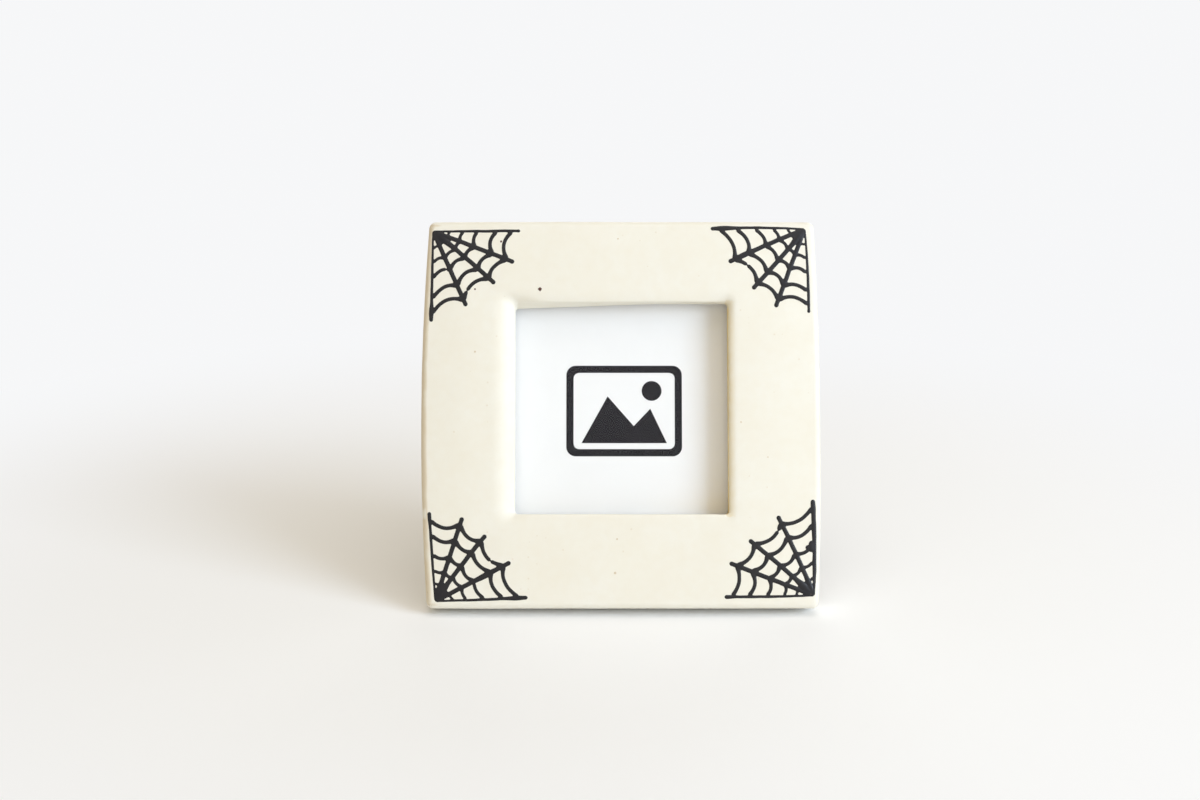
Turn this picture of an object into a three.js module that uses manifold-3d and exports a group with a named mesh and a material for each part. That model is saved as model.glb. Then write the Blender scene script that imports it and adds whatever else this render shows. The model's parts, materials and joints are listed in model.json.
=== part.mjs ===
// Ceramic photo frame: a square glazed slab with a flared window and a black cobweb in each corner.
// It holds a glass pane, a print and a backing board, and leans back on a folding easel leg.
// Millimetres, +Z up, +Y towards the back. The origin is on the table, in the middle of the footprint.
// The frame is drawn upright, its front face on y = 0 and its middle on x = z = 0, and then leaned back.

import * as THREE from "three";
import { mergeVertices } from "three/addons/utils/BufferGeometryUtils.js";
import Module from "manifold-3d";

const wasm = await Module();
wasm.setup();

// Ceramic slab
const frameWidth = 139;
const frameHeight = 139;
const sideBulge = 2.2; // swell of the left and right sides at mid height
const frontEdgeRadius = 2.2;
const backEdgeRadius = 2.4;
const outlineCorner = 2.4; // seen from the front
const faceCorner = 0.8; // where the flat faces end
const footDepth = 0.5; // ground off the lower back edge, so that the slab stands flat

// Window, and the rebate behind it
const windowWidth = 76;
const windowHeight = 76;
const windowRise = 2; // its middle above the frame's
const windowCorner = 1.2;
const revealWall = 2.5; // straight part of the reveal, next to the glass
const flareWidth = 4.2; // rounded part of the reveal, next to the front face
const flareDepth = 5;
const rebateLip = 5; // ledge that the glass rests on
const rebateCorner = 1.5;
const sheetClearance = 0.5; // round each sheet in the rebate
const seatGap = 0.25; // between pieces that rest on each other

// Sheets in the rebate, from the front
const glassThickness = 2;
const printThickness = 0.3;
const fillerThickness = 1.6;
const boardThickness = 2.6;

// Cobweb in each corner, drawn in raised black glaze
const webReach = 31.5; // along the two edge threads
const webInnerReach = 29.5; // along the threads between them
const webInset = 0.8; // edge thread inside the rim of the flat front face
const webRelief = 0.4;
const threadCount = 5;
const threadWidth = 1.3;
const ringRadii = [6.2, 10.8, 16, 22, 27.4];
const ringWidth = 1.1;
const ringSag = 0.14; // how far a ring dips towards the corner, as a share of its radius

// Stance
const standLean = 20; // degrees from upright
const legOpening = 35; // degrees between leg and board

// Easel hinge
const hingeRise = 15; // pin above the middle of the window
const hingeWidth = 22;
const middleKnuckle = 8;
const knuckleGap = 0.4;
const leafLength = 15;
const leafThickness = 0.8;
const leafCorner = 1.5;
const pinRadius = 0.9;
const pinClearance = 0.12;
const pinHeadRadius = 1.4;
const pinHeadThickness = 0.7;
const tongueLength = 6.5; // stop that meets the fixed leaf when the leg is open

// Easel leg
const legThickness = 2.8;
const legTopWidth = 25;
const legFootWidth = 38;
const legCorner = 2;
const legClearance = 0.4; // folded leg to the back of the slab
const legTopGap = 0.6; // leg to the hinge barrel

// Rivets through the leaves
const rivetRadius = 1.1;
const rivetClearance = 0.2;
const rivetHeadRadius = 2.1;
const rivetHeadHeight = 0.8;
const rivetSpacing = 13;
const rivetOffset = 9.5; // from the pin
const rivetTailRadius = 1.8;
const rivetTailHeight = 0.5;
const tailClearance = 0.4; // round the tail in its pocket
const tailSunk = 0.05; // tail below the face that it is set in

// Turn buttons on the rim, with their screws and plugs
const buttonSpacing = 50;
const pivotInset = 7; // pivot to the edge of the rebate
const boardCatch = 3; // tip's middle past the edge of the rebate
const buttonPivotRadius = 4;
const buttonTipRadius = 3;
const buttonThickness = 1;
const buttonClearance = 0.35; // round the screw
const screwRadius = 1;
const screwHeadRadius = 2.4;
const screwHeadSide = 0.6; // below its crown
const screwHeadCrown = 0.9;
const screwTipLength = 2;
const recessLength = 2.8;
const recessWidth = 0.7;
const recessDepth = 0.8;
const plugRadius = 2.3;
const plugLength = 6.5;
const plugClearance = 0.3; // in its hole, and round the screw

// Facets
const cornerSteps = 4;
const sideSteps = 10;
const flareSteps = 6;
const edgeSteps = 4;
const roundSteps = 16;
const domeSteps = 3;
const ringSteps = 3;
const tipSteps = 4;

// Depths from the front face
const revealDepth = revealWall + flareDepth;
const glassFront = revealDepth + seatGap;
const printFront = glassFront + glassThickness + seatGap;
const fillerFront = printFront + printThickness + seatGap;
const boardFront = fillerFront + fillerThickness + seatGap;
const boardBack = boardFront + boardThickness;
const slabBack = boardBack + seatGap;

// Outlines of the rebate and of the sheets in it
const rebateWidth = windowWidth + 2 * rebateLip;
const rebateHeight = windowHeight + 2 * rebateLip;
const sheetWidth = rebateWidth - 2 * sheetClearance;
const sheetHeight = rebateHeight - 2 * sheetClearance;

// The barrel is as deep as the folded leg with its leaf, down to the middle of the fixed leaf
const legFront = slabBack + legClearance;
const legBack = legFront + legThickness;
const barrelFront = boardBack + seatGap + leafThickness / 2;
const barrelBack = legBack + seatGap + leafThickness;
const barrelRadius = (barrelBack - barrelFront) / 2;
const pinY = (barrelBack + barrelFront) / 2;
const pinZ = windowRise + hingeRise;

// Table level and leg length, in the leaned frame
const lean = THREE.MathUtils.degToRad(standLean);
const opening = THREE.MathUtils.degToRad(legOpening);
const backEdgeY = slabBack - backEdgeRadius;
const backEdgeZ = backEdgeRadius - frameHeight / 2;
const tableLevel = backEdgeZ * Math.cos(lean) - backEdgeY * Math.sin(lean) - backEdgeRadius + footDepth;
const pinHeight = pinZ * Math.cos(lean) - pinY * Math.sin(lean) - tableLevel;
const legSlope = opening - lean; // from upright, at rest
const legReach = pinHeight / Math.cos(legSlope);

// Holes for the fasteners
const rivetHole = rivetRadius + rivetClearance;
const tailPocketRadius = rivetTailRadius + tailClearance;
const tailPocketDepth = tailSunk + rivetTailHeight + seatGap;
const buttonHole = screwRadius + buttonClearance;
const plugBore = screwRadius + plugClearance;
const plugHole = plugRadius + plugClearance;
const plugFront = slabBack - plugLength;

function finish(color, roughness, metalness = 0) {
  return new THREE.MeshStandardMaterial({ color, roughness, metalness });
}

const ivoryGlaze = finish(0xf1ead6, 0.3);
const blackGlaze = finish(0x1b1a1c, 0.3);
const clearGlass = finish(0xeaf2f0, 0.05);
Object.assign(clearGlass, { transparent: true, opacity: 0.3 });
const whitePaper = finish(0xf6f7f6, 0.6);
const greyCard = finish(0xb5aea0, 0.9);
const blackBoard = finish(0x232122, 0.7);
const nickelSteel = finish(0xb9b7b0, 0.3, 1);
const zincSteel = finish(0x9b9c9d, 0.4, 1);
const whiteNylon = finish(0xe9e6dd, 0.5);

// Solids

function solidOf(geometry) {
  const bare = new THREE.BufferGeometry().setAttribute("position", geometry.getAttribute("position"));
  bare.setIndex(geometry.index);
  const merged = mergeVertices(bare, 1e-4);
  const vertProperties = Float32Array.from(merged.attributes.position.array);
  const triVerts = Uint32Array.from(merged.index.array);
  return new wasm.Manifold(new wasm.Mesh({ numProp: 3, vertProperties, triVerts }));
}

function geometryOf(solid) {
  const mesh = solid.getMesh();
  const geometry = new THREE.BufferGeometry();
  geometry.setAttribute("position", new THREE.BufferAttribute(mesh.vertProperties, 3));
  geometry.setIndex(new THREE.BufferAttribute(mesh.triVerts, 1));
  geometry.computeVertexNormals();
  return geometry;
}

function piece(name, solid, material) {
  const mesh = new THREE.Mesh(geometryOf(solid), material.clone());
  mesh.name = name;
  return mesh;
}

// A flat plate: an outline in x and z, between two depths
function plateGeometry(outline, front, back, curveSegments) {
  const depth = back - front;
  const made = new THREE.ExtrudeGeometry(outline, { depth, bevelEnabled: false, curveSegments });
  return made.rotateX(Math.PI / 2).translate(0, back, 0);
}

function plate(outline, front, back, curveSegments = cornerSteps) {
  return solidOf(plateGeometry(outline, front, back, curveSegments));
}

function block(width, depth, height, x, y, z) {
  return solidOf(new THREE.BoxGeometry(width, depth, height).translate(x, y, z));
}

// A rod along the depth, between two depths
function depthRod(radius, front, back, x, z) {
  const rod = new THREE.CylinderGeometry(radius, radius, back - front, roundSteps);
  return solidOf(rod.translate(x, (front + back) / 2, z));
}

// A rod along the hinge, between two places across the frame
function crossRod(radius, left, right) {
  const rod = new THREE.CylinderGeometry(radius, radius, right - left, roundSteps).rotateZ(Math.PI / 2);
  return solidOf(rod.translate((left + right) / 2, 0, 0));
}

// A turned piece along the depth, from [radius, depth] pairs that start and end on its axis
function turned(profile) {
  const points = profile.map(([radius, depth]) => new THREE.Vector2(radius, depth));
  return solidOf(new THREE.LatheGeometry(points, roundSteps));
}

function quarterTurn(steps, visit) {
  for (let step = 0; step <= steps; step++) visit((step / steps) * (Math.PI / 2));
}

// A dome on a turned piece's end, from its rim to the axis
function dome(radius, front, height) {
  const points = [];
  quarterTurn(domeSteps, (turn) => points.push([radius * Math.cos(turn), front + height * Math.sin(turn)]));
  points.at(-1)[0] = 0;
  return points;
}

function roundedRectangle(width, height, middleZ, radius) {
  const right = width / 2 - radius;
  const top = height / 2 - radius;
  const outline = new THREE.Shape();
  outline.absarc(right, middleZ + top, radius, 0, Math.PI / 2);
  outline.absarc(-right, middleZ + top, radius, Math.PI / 2, Math.PI);
  outline.absarc(-right, middleZ - top, radius, Math.PI, 1.5 * Math.PI);
  outline.absarc(right, middleZ - top, radius, 1.5 * Math.PI, 2 * Math.PI);
  return outline;
}

// Ceramic slab: one section carried round the window

// A loop round a rounded rectangle, as [x, z] pairs. All loops have the same number of points.
function rectangleLoop(width, height, middleZ, radius, bulge) {
  const loop = [];
  const right = width / 2 - radius;
  const top = height / 2 - radius;
  const corners = [[right, top], [-right, top], [-right, -top], [right, -top]];
  const sides = [[0, 1], [-1, 0], [0, -1], [1, 0]]; // the way each side faces, after its corner
  corners.forEach(([cornerX, cornerZ], quarter) => {
    const [nextX, nextZ] = corners[(quarter + 1) % corners.length];
    const [faceX, faceZ] = sides[quarter];
    for (let step = 0; step <= cornerSteps; step++) {
      const angle = ((quarter + step / cornerSteps) * Math.PI) / 2;
      loop.push([cornerX + radius * Math.cos(angle), middleZ + cornerZ + radius * Math.sin(angle)]);
    }
    for (let step = 1; step < sideSteps; step++) {
      const along = step / sideSteps;
      const swell = bulge * (1 - (2 * along - 1) ** 2);
      const x = THREE.MathUtils.lerp(cornerX, nextX, along) + faceX * (radius + swell);
      const z = THREE.MathUtils.lerp(cornerZ, nextZ, along) + faceZ * radius;
      loop.push([x, middleZ + z]);
    }
  });
  return loop;
}

// The section's points in order: reveal, front edge, back edge and rebate
function slabRings() {
  const rings = [];
  const ring = (loop, depth) => rings.push(loop.map(([x, z]) => [x, depth, z]));
  const aroundWindow = (reach, depth, radius) =>
    ring(rectangleLoop(windowWidth + 2 * reach, windowHeight + 2 * reach, windowRise, radius, 0), depth);
  const alongOutline = (inset, depth, radius) =>
    ring(rectangleLoop(frameWidth - 2 * inset, frameHeight - 2 * inset, 0, radius, sideBulge), depth);

  aroundWindow(0, revealDepth, windowCorner);
  quarterTurn(flareSteps, (turn) => {
    const reach = flareWidth * (1 - Math.cos(turn));
    aroundWindow(reach, flareDepth * (1 - Math.sin(turn)), windowCorner + reach);
  });
  quarterTurn(edgeSteps, (turn) => {
    const share = 1 - Math.sin(turn);
    const radius = THREE.MathUtils.lerp(outlineCorner, faceCorner, share);
    alongOutline(frontEdgeRadius * share, frontEdgeRadius * (1 - Math.cos(turn)), radius);
  });
  quarterTurn(edgeSteps, (turn) => {
    const share = 1 - Math.cos(turn);
    const radius = THREE.MathUtils.lerp(outlineCorner, faceCorner, share);
    alongOutline(backEdgeRadius * share, slabBack - backEdgeRadius * (1 - Math.sin(turn)), radius);
  });
  aroundWindow(rebateLip, slabBack, rebateCorner);
  aroundWindow(rebateLip, revealDepth, rebateCorner);
  return rings;
}

function slabBlank() {
  const rings = slabRings();
  const count = rings[0].length;
  const index = [];
  rings.forEach((_, here) => {
    const next = (here + 1) % rings.length;
    for (let point = 0; point < count; point++) {
      const beside = (point + 1) % count;
      const [a, b] = [here * count + point, here * count + beside];
      const [c, d] = [next * count + beside, next * count + point];
      index.push(a, c, b, a, d, c);
    }
  });
  const geometry = new THREE.BufferGeometry();
  geometry.setAttribute("position", new THREE.Float32BufferAttribute(rings.flat(2), 3));
  geometry.setIndex(index);
  return solidOf(geometry);
}

// Everything below the table, in the upright frame's own axes
function belowTable() {
  const side = frameWidth + frameHeight;
  const below = new THREE.BoxGeometry(side, side, side).translate(0, 0, tableLevel - side / 2);
  return solidOf(below.rotateX(lean));
}

function ceramicFrame() {
  let body = slabBlank().subtract(belowTable());
  for (const { x, z } of buttonPivots()) {
    body = body.subtract(depthRod(plugHole, plugFront - seatGap, slabBack + seatGap, x, z));
  }
  return piece("ceramic_frame", body, ivoryGlaze);
}

// Cobwebs

// A stroke of even width along a curve, as an outline
function strokeOutline(curve, width, steps) {
  const near = [];
  const far = [];
  for (let step = 0; step <= steps; step++) {
    const middle = curve.getPoint(step / steps);
    const tangent = curve.getTangent(step / steps);
    const across = new THREE.Vector2(-tangent.y, tangent.x).multiplyScalar(width / 2);
    near.push(middle.clone().add(across));
    far.unshift(middle.clone().sub(across));
  }
  return new THREE.Shape([...near, ...far]);
}

// A thread from the corner, with a round tip
function threadOutline(direction, length) {
  const along = Math.atan2(direction.y, direction.x);
  const tip = direction.clone().multiplyScalar(length - threadWidth / 2);
  const outline = new THREE.Shape();
  outline.absarc(tip.x, tip.y, threadWidth / 2, along - Math.PI / 2, along + Math.PI / 2);
  outline.absarc(0, 0, threadWidth / 2, along + Math.PI / 2, along + 1.5 * Math.PI);
  return outline;
}

function cobweb(name, signX, signZ) {
  const front = -seatGap - webRelief;
  const place = (outline) => plate(outline, front, -seatGap, tipSteps);
  const directions = Array.from({ length: threadCount }, (_, thread) => {
    const angle = (thread / (threadCount - 1)) * (Math.PI / 2);
    return new THREE.Vector2(-signX * Math.cos(angle), -signZ * Math.sin(angle));
  });
  const strokes = directions.map((direction, thread) => {
    const onEdge = thread === 0 || thread === threadCount - 1;
    return place(threadOutline(direction, onEdge ? webReach : webInnerReach));
  });
  for (const radius of ringRadii) {
    for (let thread = 0; thread < threadCount - 1; thread++) {
      const from = directions[thread].clone().multiplyScalar(radius);
      const to = directions[thread + 1].clone().multiplyScalar(radius);
      const dip = from.clone().add(to).multiplyScalar(0.5 - ringSag);
      const curve = new THREE.QuadraticBezierCurve(from, dip, to);
      strokes.push(place(strokeOutline(curve, ringWidth, ringSteps)));
    }
  }
  const web = strokes.reduce((joined, stroke) => joined.add(stroke));
  const x = signX * (frameWidth / 2 - frontEdgeRadius - webInset);
  const z = signZ * (frameHeight / 2 - frontEdgeRadius - webInset);
  return piece(name, web.translate([x, 0, z]), blackGlaze);
}

// Sheets in the rebate

function sheet(name, front, thickness, material) {
  const outline = roundedRectangle(sheetWidth, sheetHeight, windowRise, rebateCorner);
  return piece(name, plate(outline, front, front + thickness), material);
}

const rivetPlaces = [
  { side: "left", x: -rivetSpacing / 2 },
  { side: "right", x: rivetSpacing / 2 },
];

// Rivet holes through a sheet, with a pocket for each tail in its front face
function drilled(solid, front, back, z, pocketDepth = 0) {
  let cut = solid;
  for (const { x } of rivetPlaces) {
    cut = cut.subtract(depthRod(rivetHole, front - seatGap, back + seatGap, x, z));
    if (pocketDepth > 0) {
      cut = cut.subtract(depthRod(tailPocketRadius, front - seatGap, front + pocketDepth, x, z));
    }
  }
  return cut;
}

function backingBoard() {
  const outline = roundedRectangle(sheetWidth, sheetHeight, windowRise, rebateCorner);
  const blank = plate(outline, boardFront, boardBack);
  const board = drilled(blank, boardFront, boardBack, pinZ + rivetOffset, tailPocketDepth);
  return piece("backing_board", board, blackBoard);
}

// Easel hinge. The leaves are drawn with the pin on the origin and the leg folded.

const halfHinge = hingeWidth / 2;
const halfMiddle = middleKnuckle / 2;
const fixedLeafFront = boardBack + seatGap - pinY;
const movingLeafFront = legBack + seatGap - pinY;
const fixedLeafBack = fixedLeafFront + leafThickness;
const movingLeafBack = movingLeafFront + leafThickness;
const notchHeight = barrelRadius + knuckleGap;

function leafPlate(front, back, signZ) {
  const outline = roundedRectangle(hingeWidth, leafLength, (signZ * leafLength) / 2, leafCorner);
  return plate(outline, front, back);
}

function fixedLeaf() {
  const inner = halfMiddle + knuckleGap;
  const notch = block(2 * inner, 4 * barrelRadius, 2 * notchHeight, 0, 0, 0);
  const knuckles = crossRod(barrelRadius, -halfHinge, -inner).add(crossRod(barrelRadius, inner, halfHinge));
  const bore = crossRod(pinRadius + pinClearance, -hingeWidth, hingeWidth);
  const flat = leafPlate(fixedLeafFront, fixedLeafBack, 1).subtract(notch);
  const leaf = drilled(flat, fixedLeafFront, fixedLeafBack, rivetOffset).add(knuckles).subtract(bore);
  return piece("hinge_fixed_leaf", leaf, nickelSteel);
}

// The tongue is drawn with the leg open, flat over the fixed leaf, and turned back with the folded leg
function stopTongue() {
  const front = fixedLeafBack + seatGap;
  const outline = roundedRectangle(middleKnuckle, tongueLength, tongueLength / 2, leafCorner);
  const tongue = plateGeometry(outline, front, front + leafThickness, cornerSteps);
  return solidOf(tongue.rotateX(-opening));
}

function movingLeaf() {
  const sideWidth = hingeWidth - middleKnuckle;
  const sideMiddle = halfMiddle + sideWidth / 2;
  let flat = leafPlate(movingLeafFront, movingLeafBack, -1);
  for (const x of [-sideMiddle, sideMiddle]) {
    flat = flat.subtract(block(sideWidth, 4 * barrelRadius, 2 * notchHeight, x, 0, 0));
  }
  const knuckle = crossRod(barrelRadius, -halfMiddle, halfMiddle);
  const bore = crossRod(pinRadius + pinClearance, -hingeWidth, hingeWidth);
  const plain = drilled(flat, movingLeafFront, movingLeafBack, -rivetOffset);
  const leaf = plain.add(knuckle).add(stopTongue()).subtract(bore);
  return piece("hinge_moving_leaf", leaf, nickelSteel);
}

function hingePin() {
  const headLeft = -halfHinge - seatGap - pinHeadThickness;
  const shaft = crossRod(pinRadius, headLeft, -headLeft);
  const leftHead = crossRod(pinHeadRadius, headLeft, headLeft + pinHeadThickness);
  const rightHead = crossRod(pinHeadRadius, -headLeft - pinHeadThickness, -headLeft);
  return piece("hinge_pin", shaft.add(leftHead).add(rightHead), zincSteel);
}

// A rivet with a domed head at the back and a flattened tail in its pocket at the front
function rivet(name, pocketFront, headSeat) {
  const tailFront = pocketFront + tailSunk;
  const tailBack = tailFront + rivetTailHeight;
  const headFront = headSeat + seatGap;
  const profile = [
    [0, tailFront],
    [rivetTailRadius, tailFront],
    [rivetTailRadius, tailBack],
    [rivetRadius, tailBack],
    [rivetRadius, headFront],
    ...dome(rivetHeadRadius, headFront, rivetHeadHeight),
  ];
  return piece(name, turned(profile), nickelSteel);
}

// Easel leg, folded, with the pin on the origin

function legOutline() {
  const top = -barrelRadius - legTopGap;
  const foot = -legReach - legThickness; // trimmed at the table
  const [halfTop, halfFoot] = [legTopWidth / 2, legFootWidth / 2];
  const outline = new THREE.Shape();
  outline.moveTo(-halfTop + legCorner, top);
  outline.lineTo(halfTop - legCorner, top);
  outline.quadraticCurveTo(halfTop, top, halfTop, top - legCorner);
  outline.lineTo(halfFoot, foot);
  outline.lineTo(-halfFoot, foot);
  outline.lineTo(-halfTop, top - legCorner);
  outline.quadraticCurveTo(-halfTop, top, -halfTop + legCorner, top);
  return outline;
}

function easelLeg() {
  const [front, back] = [legFront - pinY, legBack - pinY];
  const side = frameWidth + frameHeight;
  const table = new THREE.BoxGeometry(side, side, side).translate(0, 0, -pinHeight - side / 2);
  const blank = plate(legOutline(), front, back).subtract(solidOf(table.rotateX(-legSlope)));
  const leg = drilled(blank, front, back, -rivetOffset, tailPocketDepth);
  return piece("easel_leg", leg, blackBoard);
}

// Turn buttons, drawn with the pivot on x = z = 0 and pointing along +X

function buttonPivots() {
  const x = rebateWidth / 2 + pivotInset;
  const places = [];
  for (const [sideName, sideSign] of [["left", -1], ["right", 1]]) {
    for (const [levelName, levelSign] of [["upper", 1], ["lower", -1]]) {
      const z = windowRise + (levelSign * buttonSpacing) / 2;
      const turn = sideSign < 0 ? 0 : Math.PI; // each button points at the board
      places.push({ name: `${sideName}_${levelName}`, x: sideSign * x, z, turn });
    }
  }
  return places;
}

function turnButton(name) {
  const length = pivotInset + boardCatch;
  const tangent = Math.acos((buttonPivotRadius - buttonTipRadius) / length);
  const outline = new THREE.Shape();
  outline.absarc(0, 0, buttonPivotRadius, tangent, 2 * Math.PI - tangent);
  outline.absarc(length, 0, buttonTipRadius, -tangent, tangent);
  const front = slabBack + seatGap;
  const hole = depthRod(buttonHole, front - seatGap, front + buttonThickness + seatGap, 0, 0);
  const button = plate(outline, front, front + buttonThickness, 2 * cornerSteps);
  return piece(`turn_button_${name}`, button.subtract(hole), nickelSteel);
}

function buttonScrew(name) {
  const seat = slabBack + seatGap + buttonThickness + seatGap;
  const shoulder = seat + screwHeadSide;
  const top = shoulder + screwHeadCrown;
  const profile = [
    [0, plugFront],
    [screwRadius, plugFront + screwTipLength],
    [screwRadius, seat],
    [screwHeadRadius, seat],
    ...dome(screwHeadRadius, shoulder, screwHeadCrown),
  ];
  const across = block(recessLength, 2 * recessDepth, recessWidth, 0, top, 0);
  const upright = block(recessWidth, 2 * recessDepth, recessLength, 0, top, 0);
  const screw = turned(profile).subtract(across).subtract(upright);
  return piece(`button_screw_${name}`, screw, zincSteel);
}

function screwPlug(name) {
  const plug = depthRod(plugRadius, plugFront, slabBack, 0, 0);
  const bore = depthRod(plugBore, plugFront - seatGap, slabBack + seatGap, 0, 0);
  return piece(`screw_plug_${name}`, plug.subtract(bore), whiteNylon);
}

// Assembly

function legAssembly() {
  const leg = new THREE.Group();
  leg.name = "leg";
  leg.position.set(0, pinY, pinZ);
  leg.rotation.x = opening;
  leg.add(easelLeg(), movingLeaf());
  for (const { side, x } of rivetPlaces) {
    const fastener = rivet(`leg_rivet_${side}`, legFront - pinY, movingLeafBack);
    fastener.position.set(x, 0, -rivetOffset);
    leg.add(fastener);
  }
  return leg;
}

function hingeAssembly() {
  const hinge = new THREE.Group();
  hinge.position.set(0, pinY, pinZ);
  hinge.add(fixedLeaf(), hingePin());
  for (const { side, x } of rivetPlaces) {
    const fastener = rivet(`board_rivet_${side}`, boardFront - pinY, fixedLeafBack);
    fastener.position.set(x, 0, rivetOffset);
    hinge.add(fastener);
  }
  return hinge;
}

function buttonAssembly({ name, x, z, turn }) {
  const place = new THREE.Group();
  place.name = `pivot_${name}`;
  place.position.set(x, 0, z);
  place.rotation.y = turn;
  place.add(turnButton(name), buttonScrew(name), screwPlug(name));
  return place;
}

const leaning = new THREE.Group();
leaning.rotation.x = -lean;
leaning.add(
  ceramicFrame(),
  cobweb("cobweb_top_left", -1, 1),
  cobweb("cobweb_top_right", 1, 1),
  cobweb("cobweb_bottom_left", -1, -1),
  cobweb("cobweb_bottom_right", 1, -1),
  sheet("glass_pane", glassFront, glassThickness, clearGlass),
  sheet("photo_print", printFront, printThickness, whitePaper),
  sheet("filler_card", fillerFront, fillerThickness, greyCard),
  backingBoard(),
  hingeAssembly(),
  legAssembly(),
  ...buttonPivots().map(buttonAssembly),
);

const photoFrame = new THREE.Group();
photoFrame.add(leaning);
const footprint = new THREE.Box3().setFromObject(photoFrame, true);
leaning.position.y = -(footprint.min.y + footprint.max.y) / 2;
leaning.position.z = -tableLevel;

export default photoFrame;
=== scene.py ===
import bpy
import bmesh
import json
import math
import random
from mathutils import Matrix, Vector, noise

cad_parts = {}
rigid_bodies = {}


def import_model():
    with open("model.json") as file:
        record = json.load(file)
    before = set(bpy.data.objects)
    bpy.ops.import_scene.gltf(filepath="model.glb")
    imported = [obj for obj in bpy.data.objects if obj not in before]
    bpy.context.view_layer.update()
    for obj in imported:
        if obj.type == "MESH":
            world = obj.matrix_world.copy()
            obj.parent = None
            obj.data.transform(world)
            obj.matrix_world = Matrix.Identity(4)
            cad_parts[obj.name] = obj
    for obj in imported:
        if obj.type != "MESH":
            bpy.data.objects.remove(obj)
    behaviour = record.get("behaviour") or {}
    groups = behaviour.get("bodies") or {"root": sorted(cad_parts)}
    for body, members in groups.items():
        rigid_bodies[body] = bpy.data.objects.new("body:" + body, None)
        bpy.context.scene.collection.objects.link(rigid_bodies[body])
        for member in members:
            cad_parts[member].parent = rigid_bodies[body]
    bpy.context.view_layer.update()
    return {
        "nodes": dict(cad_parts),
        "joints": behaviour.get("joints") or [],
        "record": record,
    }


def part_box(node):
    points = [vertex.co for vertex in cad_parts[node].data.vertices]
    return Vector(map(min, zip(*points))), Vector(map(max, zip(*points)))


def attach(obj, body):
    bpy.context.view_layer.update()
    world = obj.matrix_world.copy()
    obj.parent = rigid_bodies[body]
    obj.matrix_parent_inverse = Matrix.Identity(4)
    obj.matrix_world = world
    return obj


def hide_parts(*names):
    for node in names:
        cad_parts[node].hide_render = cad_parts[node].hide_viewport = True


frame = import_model()
scene = bpy.context.scene

# Pieces are drawn in millimetres on the upright slab: its front face is y = 0, its middle x = z = 0,
# and +y is the back. The leg and its leaf are drawn folded, with the hinge pin on the origin.
stance = {"millimetre": 0.001, "glassDepth": 8.75, "windowRise": 2.0, "pinDepth": 17.575, "pinRise": 17.0}
joints = {joint["name"]: joint for joint in frame["joints"]}
turnAxis = Vector(joints["turn_left_upper"]["axis"])
lean = math.atan2(-turnAxis.z, turnAxis.y)
legOpening = math.radians(-joints["leg_fold"]["range_deg"][0])
glassLow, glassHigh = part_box("glass_pane")
leaned = Matrix.Translation((glassLow + glassHigh) / 2) @ Matrix.Rotation(-lean, 4, "X")
standing = leaned @ Matrix.Scale(stance["millimetre"], 4)
standing = standing @ Matrix.Translation((0, -stance["glassDepth"], -stance["windowRise"]))
onPin = standing @ Matrix.Translation((0, stance["pinDepth"], stance["pinRise"]))
onLeg = onPin @ Matrix.Rotation(legOpening, 4, "X")


# Camera and light

view = {
    "lens": 50.0, "sensor": 36.0, "clipStart": 0.01, "pitch": 16.0, "distance": 0.6057,
    "target": (-0.00777, 0.0, 0.07135),
}

pitch = math.radians(view["pitch"])
lookAlong = Vector((0, math.cos(pitch), -math.sin(pitch)))
camera = bpy.data.objects.new("camera", bpy.data.cameras.new("camera"))
camera.data.lens = view["lens"]
camera.data.sensor_width = view["sensor"]
camera.data.clip_start = view["clipStart"]
camera.location = Vector(view["target"]) - lookAlong * view["distance"]
camera.rotation_euler = (math.pi / 2 - pitch, 0, 0)
scene.collection.objects.link(camera)
scene.camera = camera
scene.view_settings.view_transform = "Standard"

# across is in degrees to the right of the front, up in degrees above the table
studio = {
    "keyPanel": {
        "across": 55.0, "up": 22.0, "away": 1.9, "size": 0.95, "power": 27.8, "colour": (0.72, 0.84, 1.0),
    },
    "topPanel": {
        "across": 15.0, "up": 75.0, "away": 1.8, "size": 1.5, "power": 10.6, "colour": (1.0, 0.975, 0.95),
    },
    "backPanel": {
        "across": 172.0, "up": 28.0, "away": 1.8, "size": 1.2, "power": 5.4, "colour": (0.87, 0.945, 1.0),
    },
    "skyStrength": 0.41, "skyColour": (1.0, 0.855, 0.61),
    "backdropStrength": 0.94, "backdropColour": (0.985, 0.99, 1.0),
}


def addLamp(name, across, up, away, size, power, colour):
    lamp = bpy.data.lights.new(name, "AREA")
    lamp.energy = power
    lamp.size = size
    lamp.color = colour
    panel = bpy.data.objects.new(name, lamp)
    turn, rise = math.radians(across), math.radians(up)
    towards = Vector((math.sin(turn) * math.cos(rise), -math.cos(turn) * math.cos(rise), math.sin(rise)))
    panel.location = Vector(view["target"]) + towards * away
    panel.rotation_euler = towards.to_track_quat("Z", "Y").to_euler()
    panel.visible_camera = False
    scene.collection.objects.link(panel)


for lampName in ("keyPanel", "topPanel", "backPanel"):
    addLamp(lampName, **studio[lampName])
print("camera and lamps placed")


# Node helpers

def feed(tree, node, values):
    for key, value in values.items():
        socket = node.inputs[key]
        if isinstance(value, bpy.types.NodeSocket):
            tree.links.new(value, socket)
        else:
            socket.default_value = value


def put(tree, kind, values=None, **settings):
    node = tree.nodes.new(kind)
    for key, value in settings.items():
        setattr(node, key, value)
    feed(tree, node, values or {})
    return node


def nodeOf(tree, kind):
    return next(node for node in tree.nodes if node.type == kind)


def sums(tree, operation, first, second=None, third=None, clamp=False):
    values = {0: first}
    if second is not None:
        values[1] = second
    if third is not None:
        values[2] = third
    return put(tree, "ShaderNodeMath", values, operation=operation, use_clamp=clamp).outputs[0]


def times(tree, first, second):
    return sums(tree, "MULTIPLY", first, second)


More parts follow.
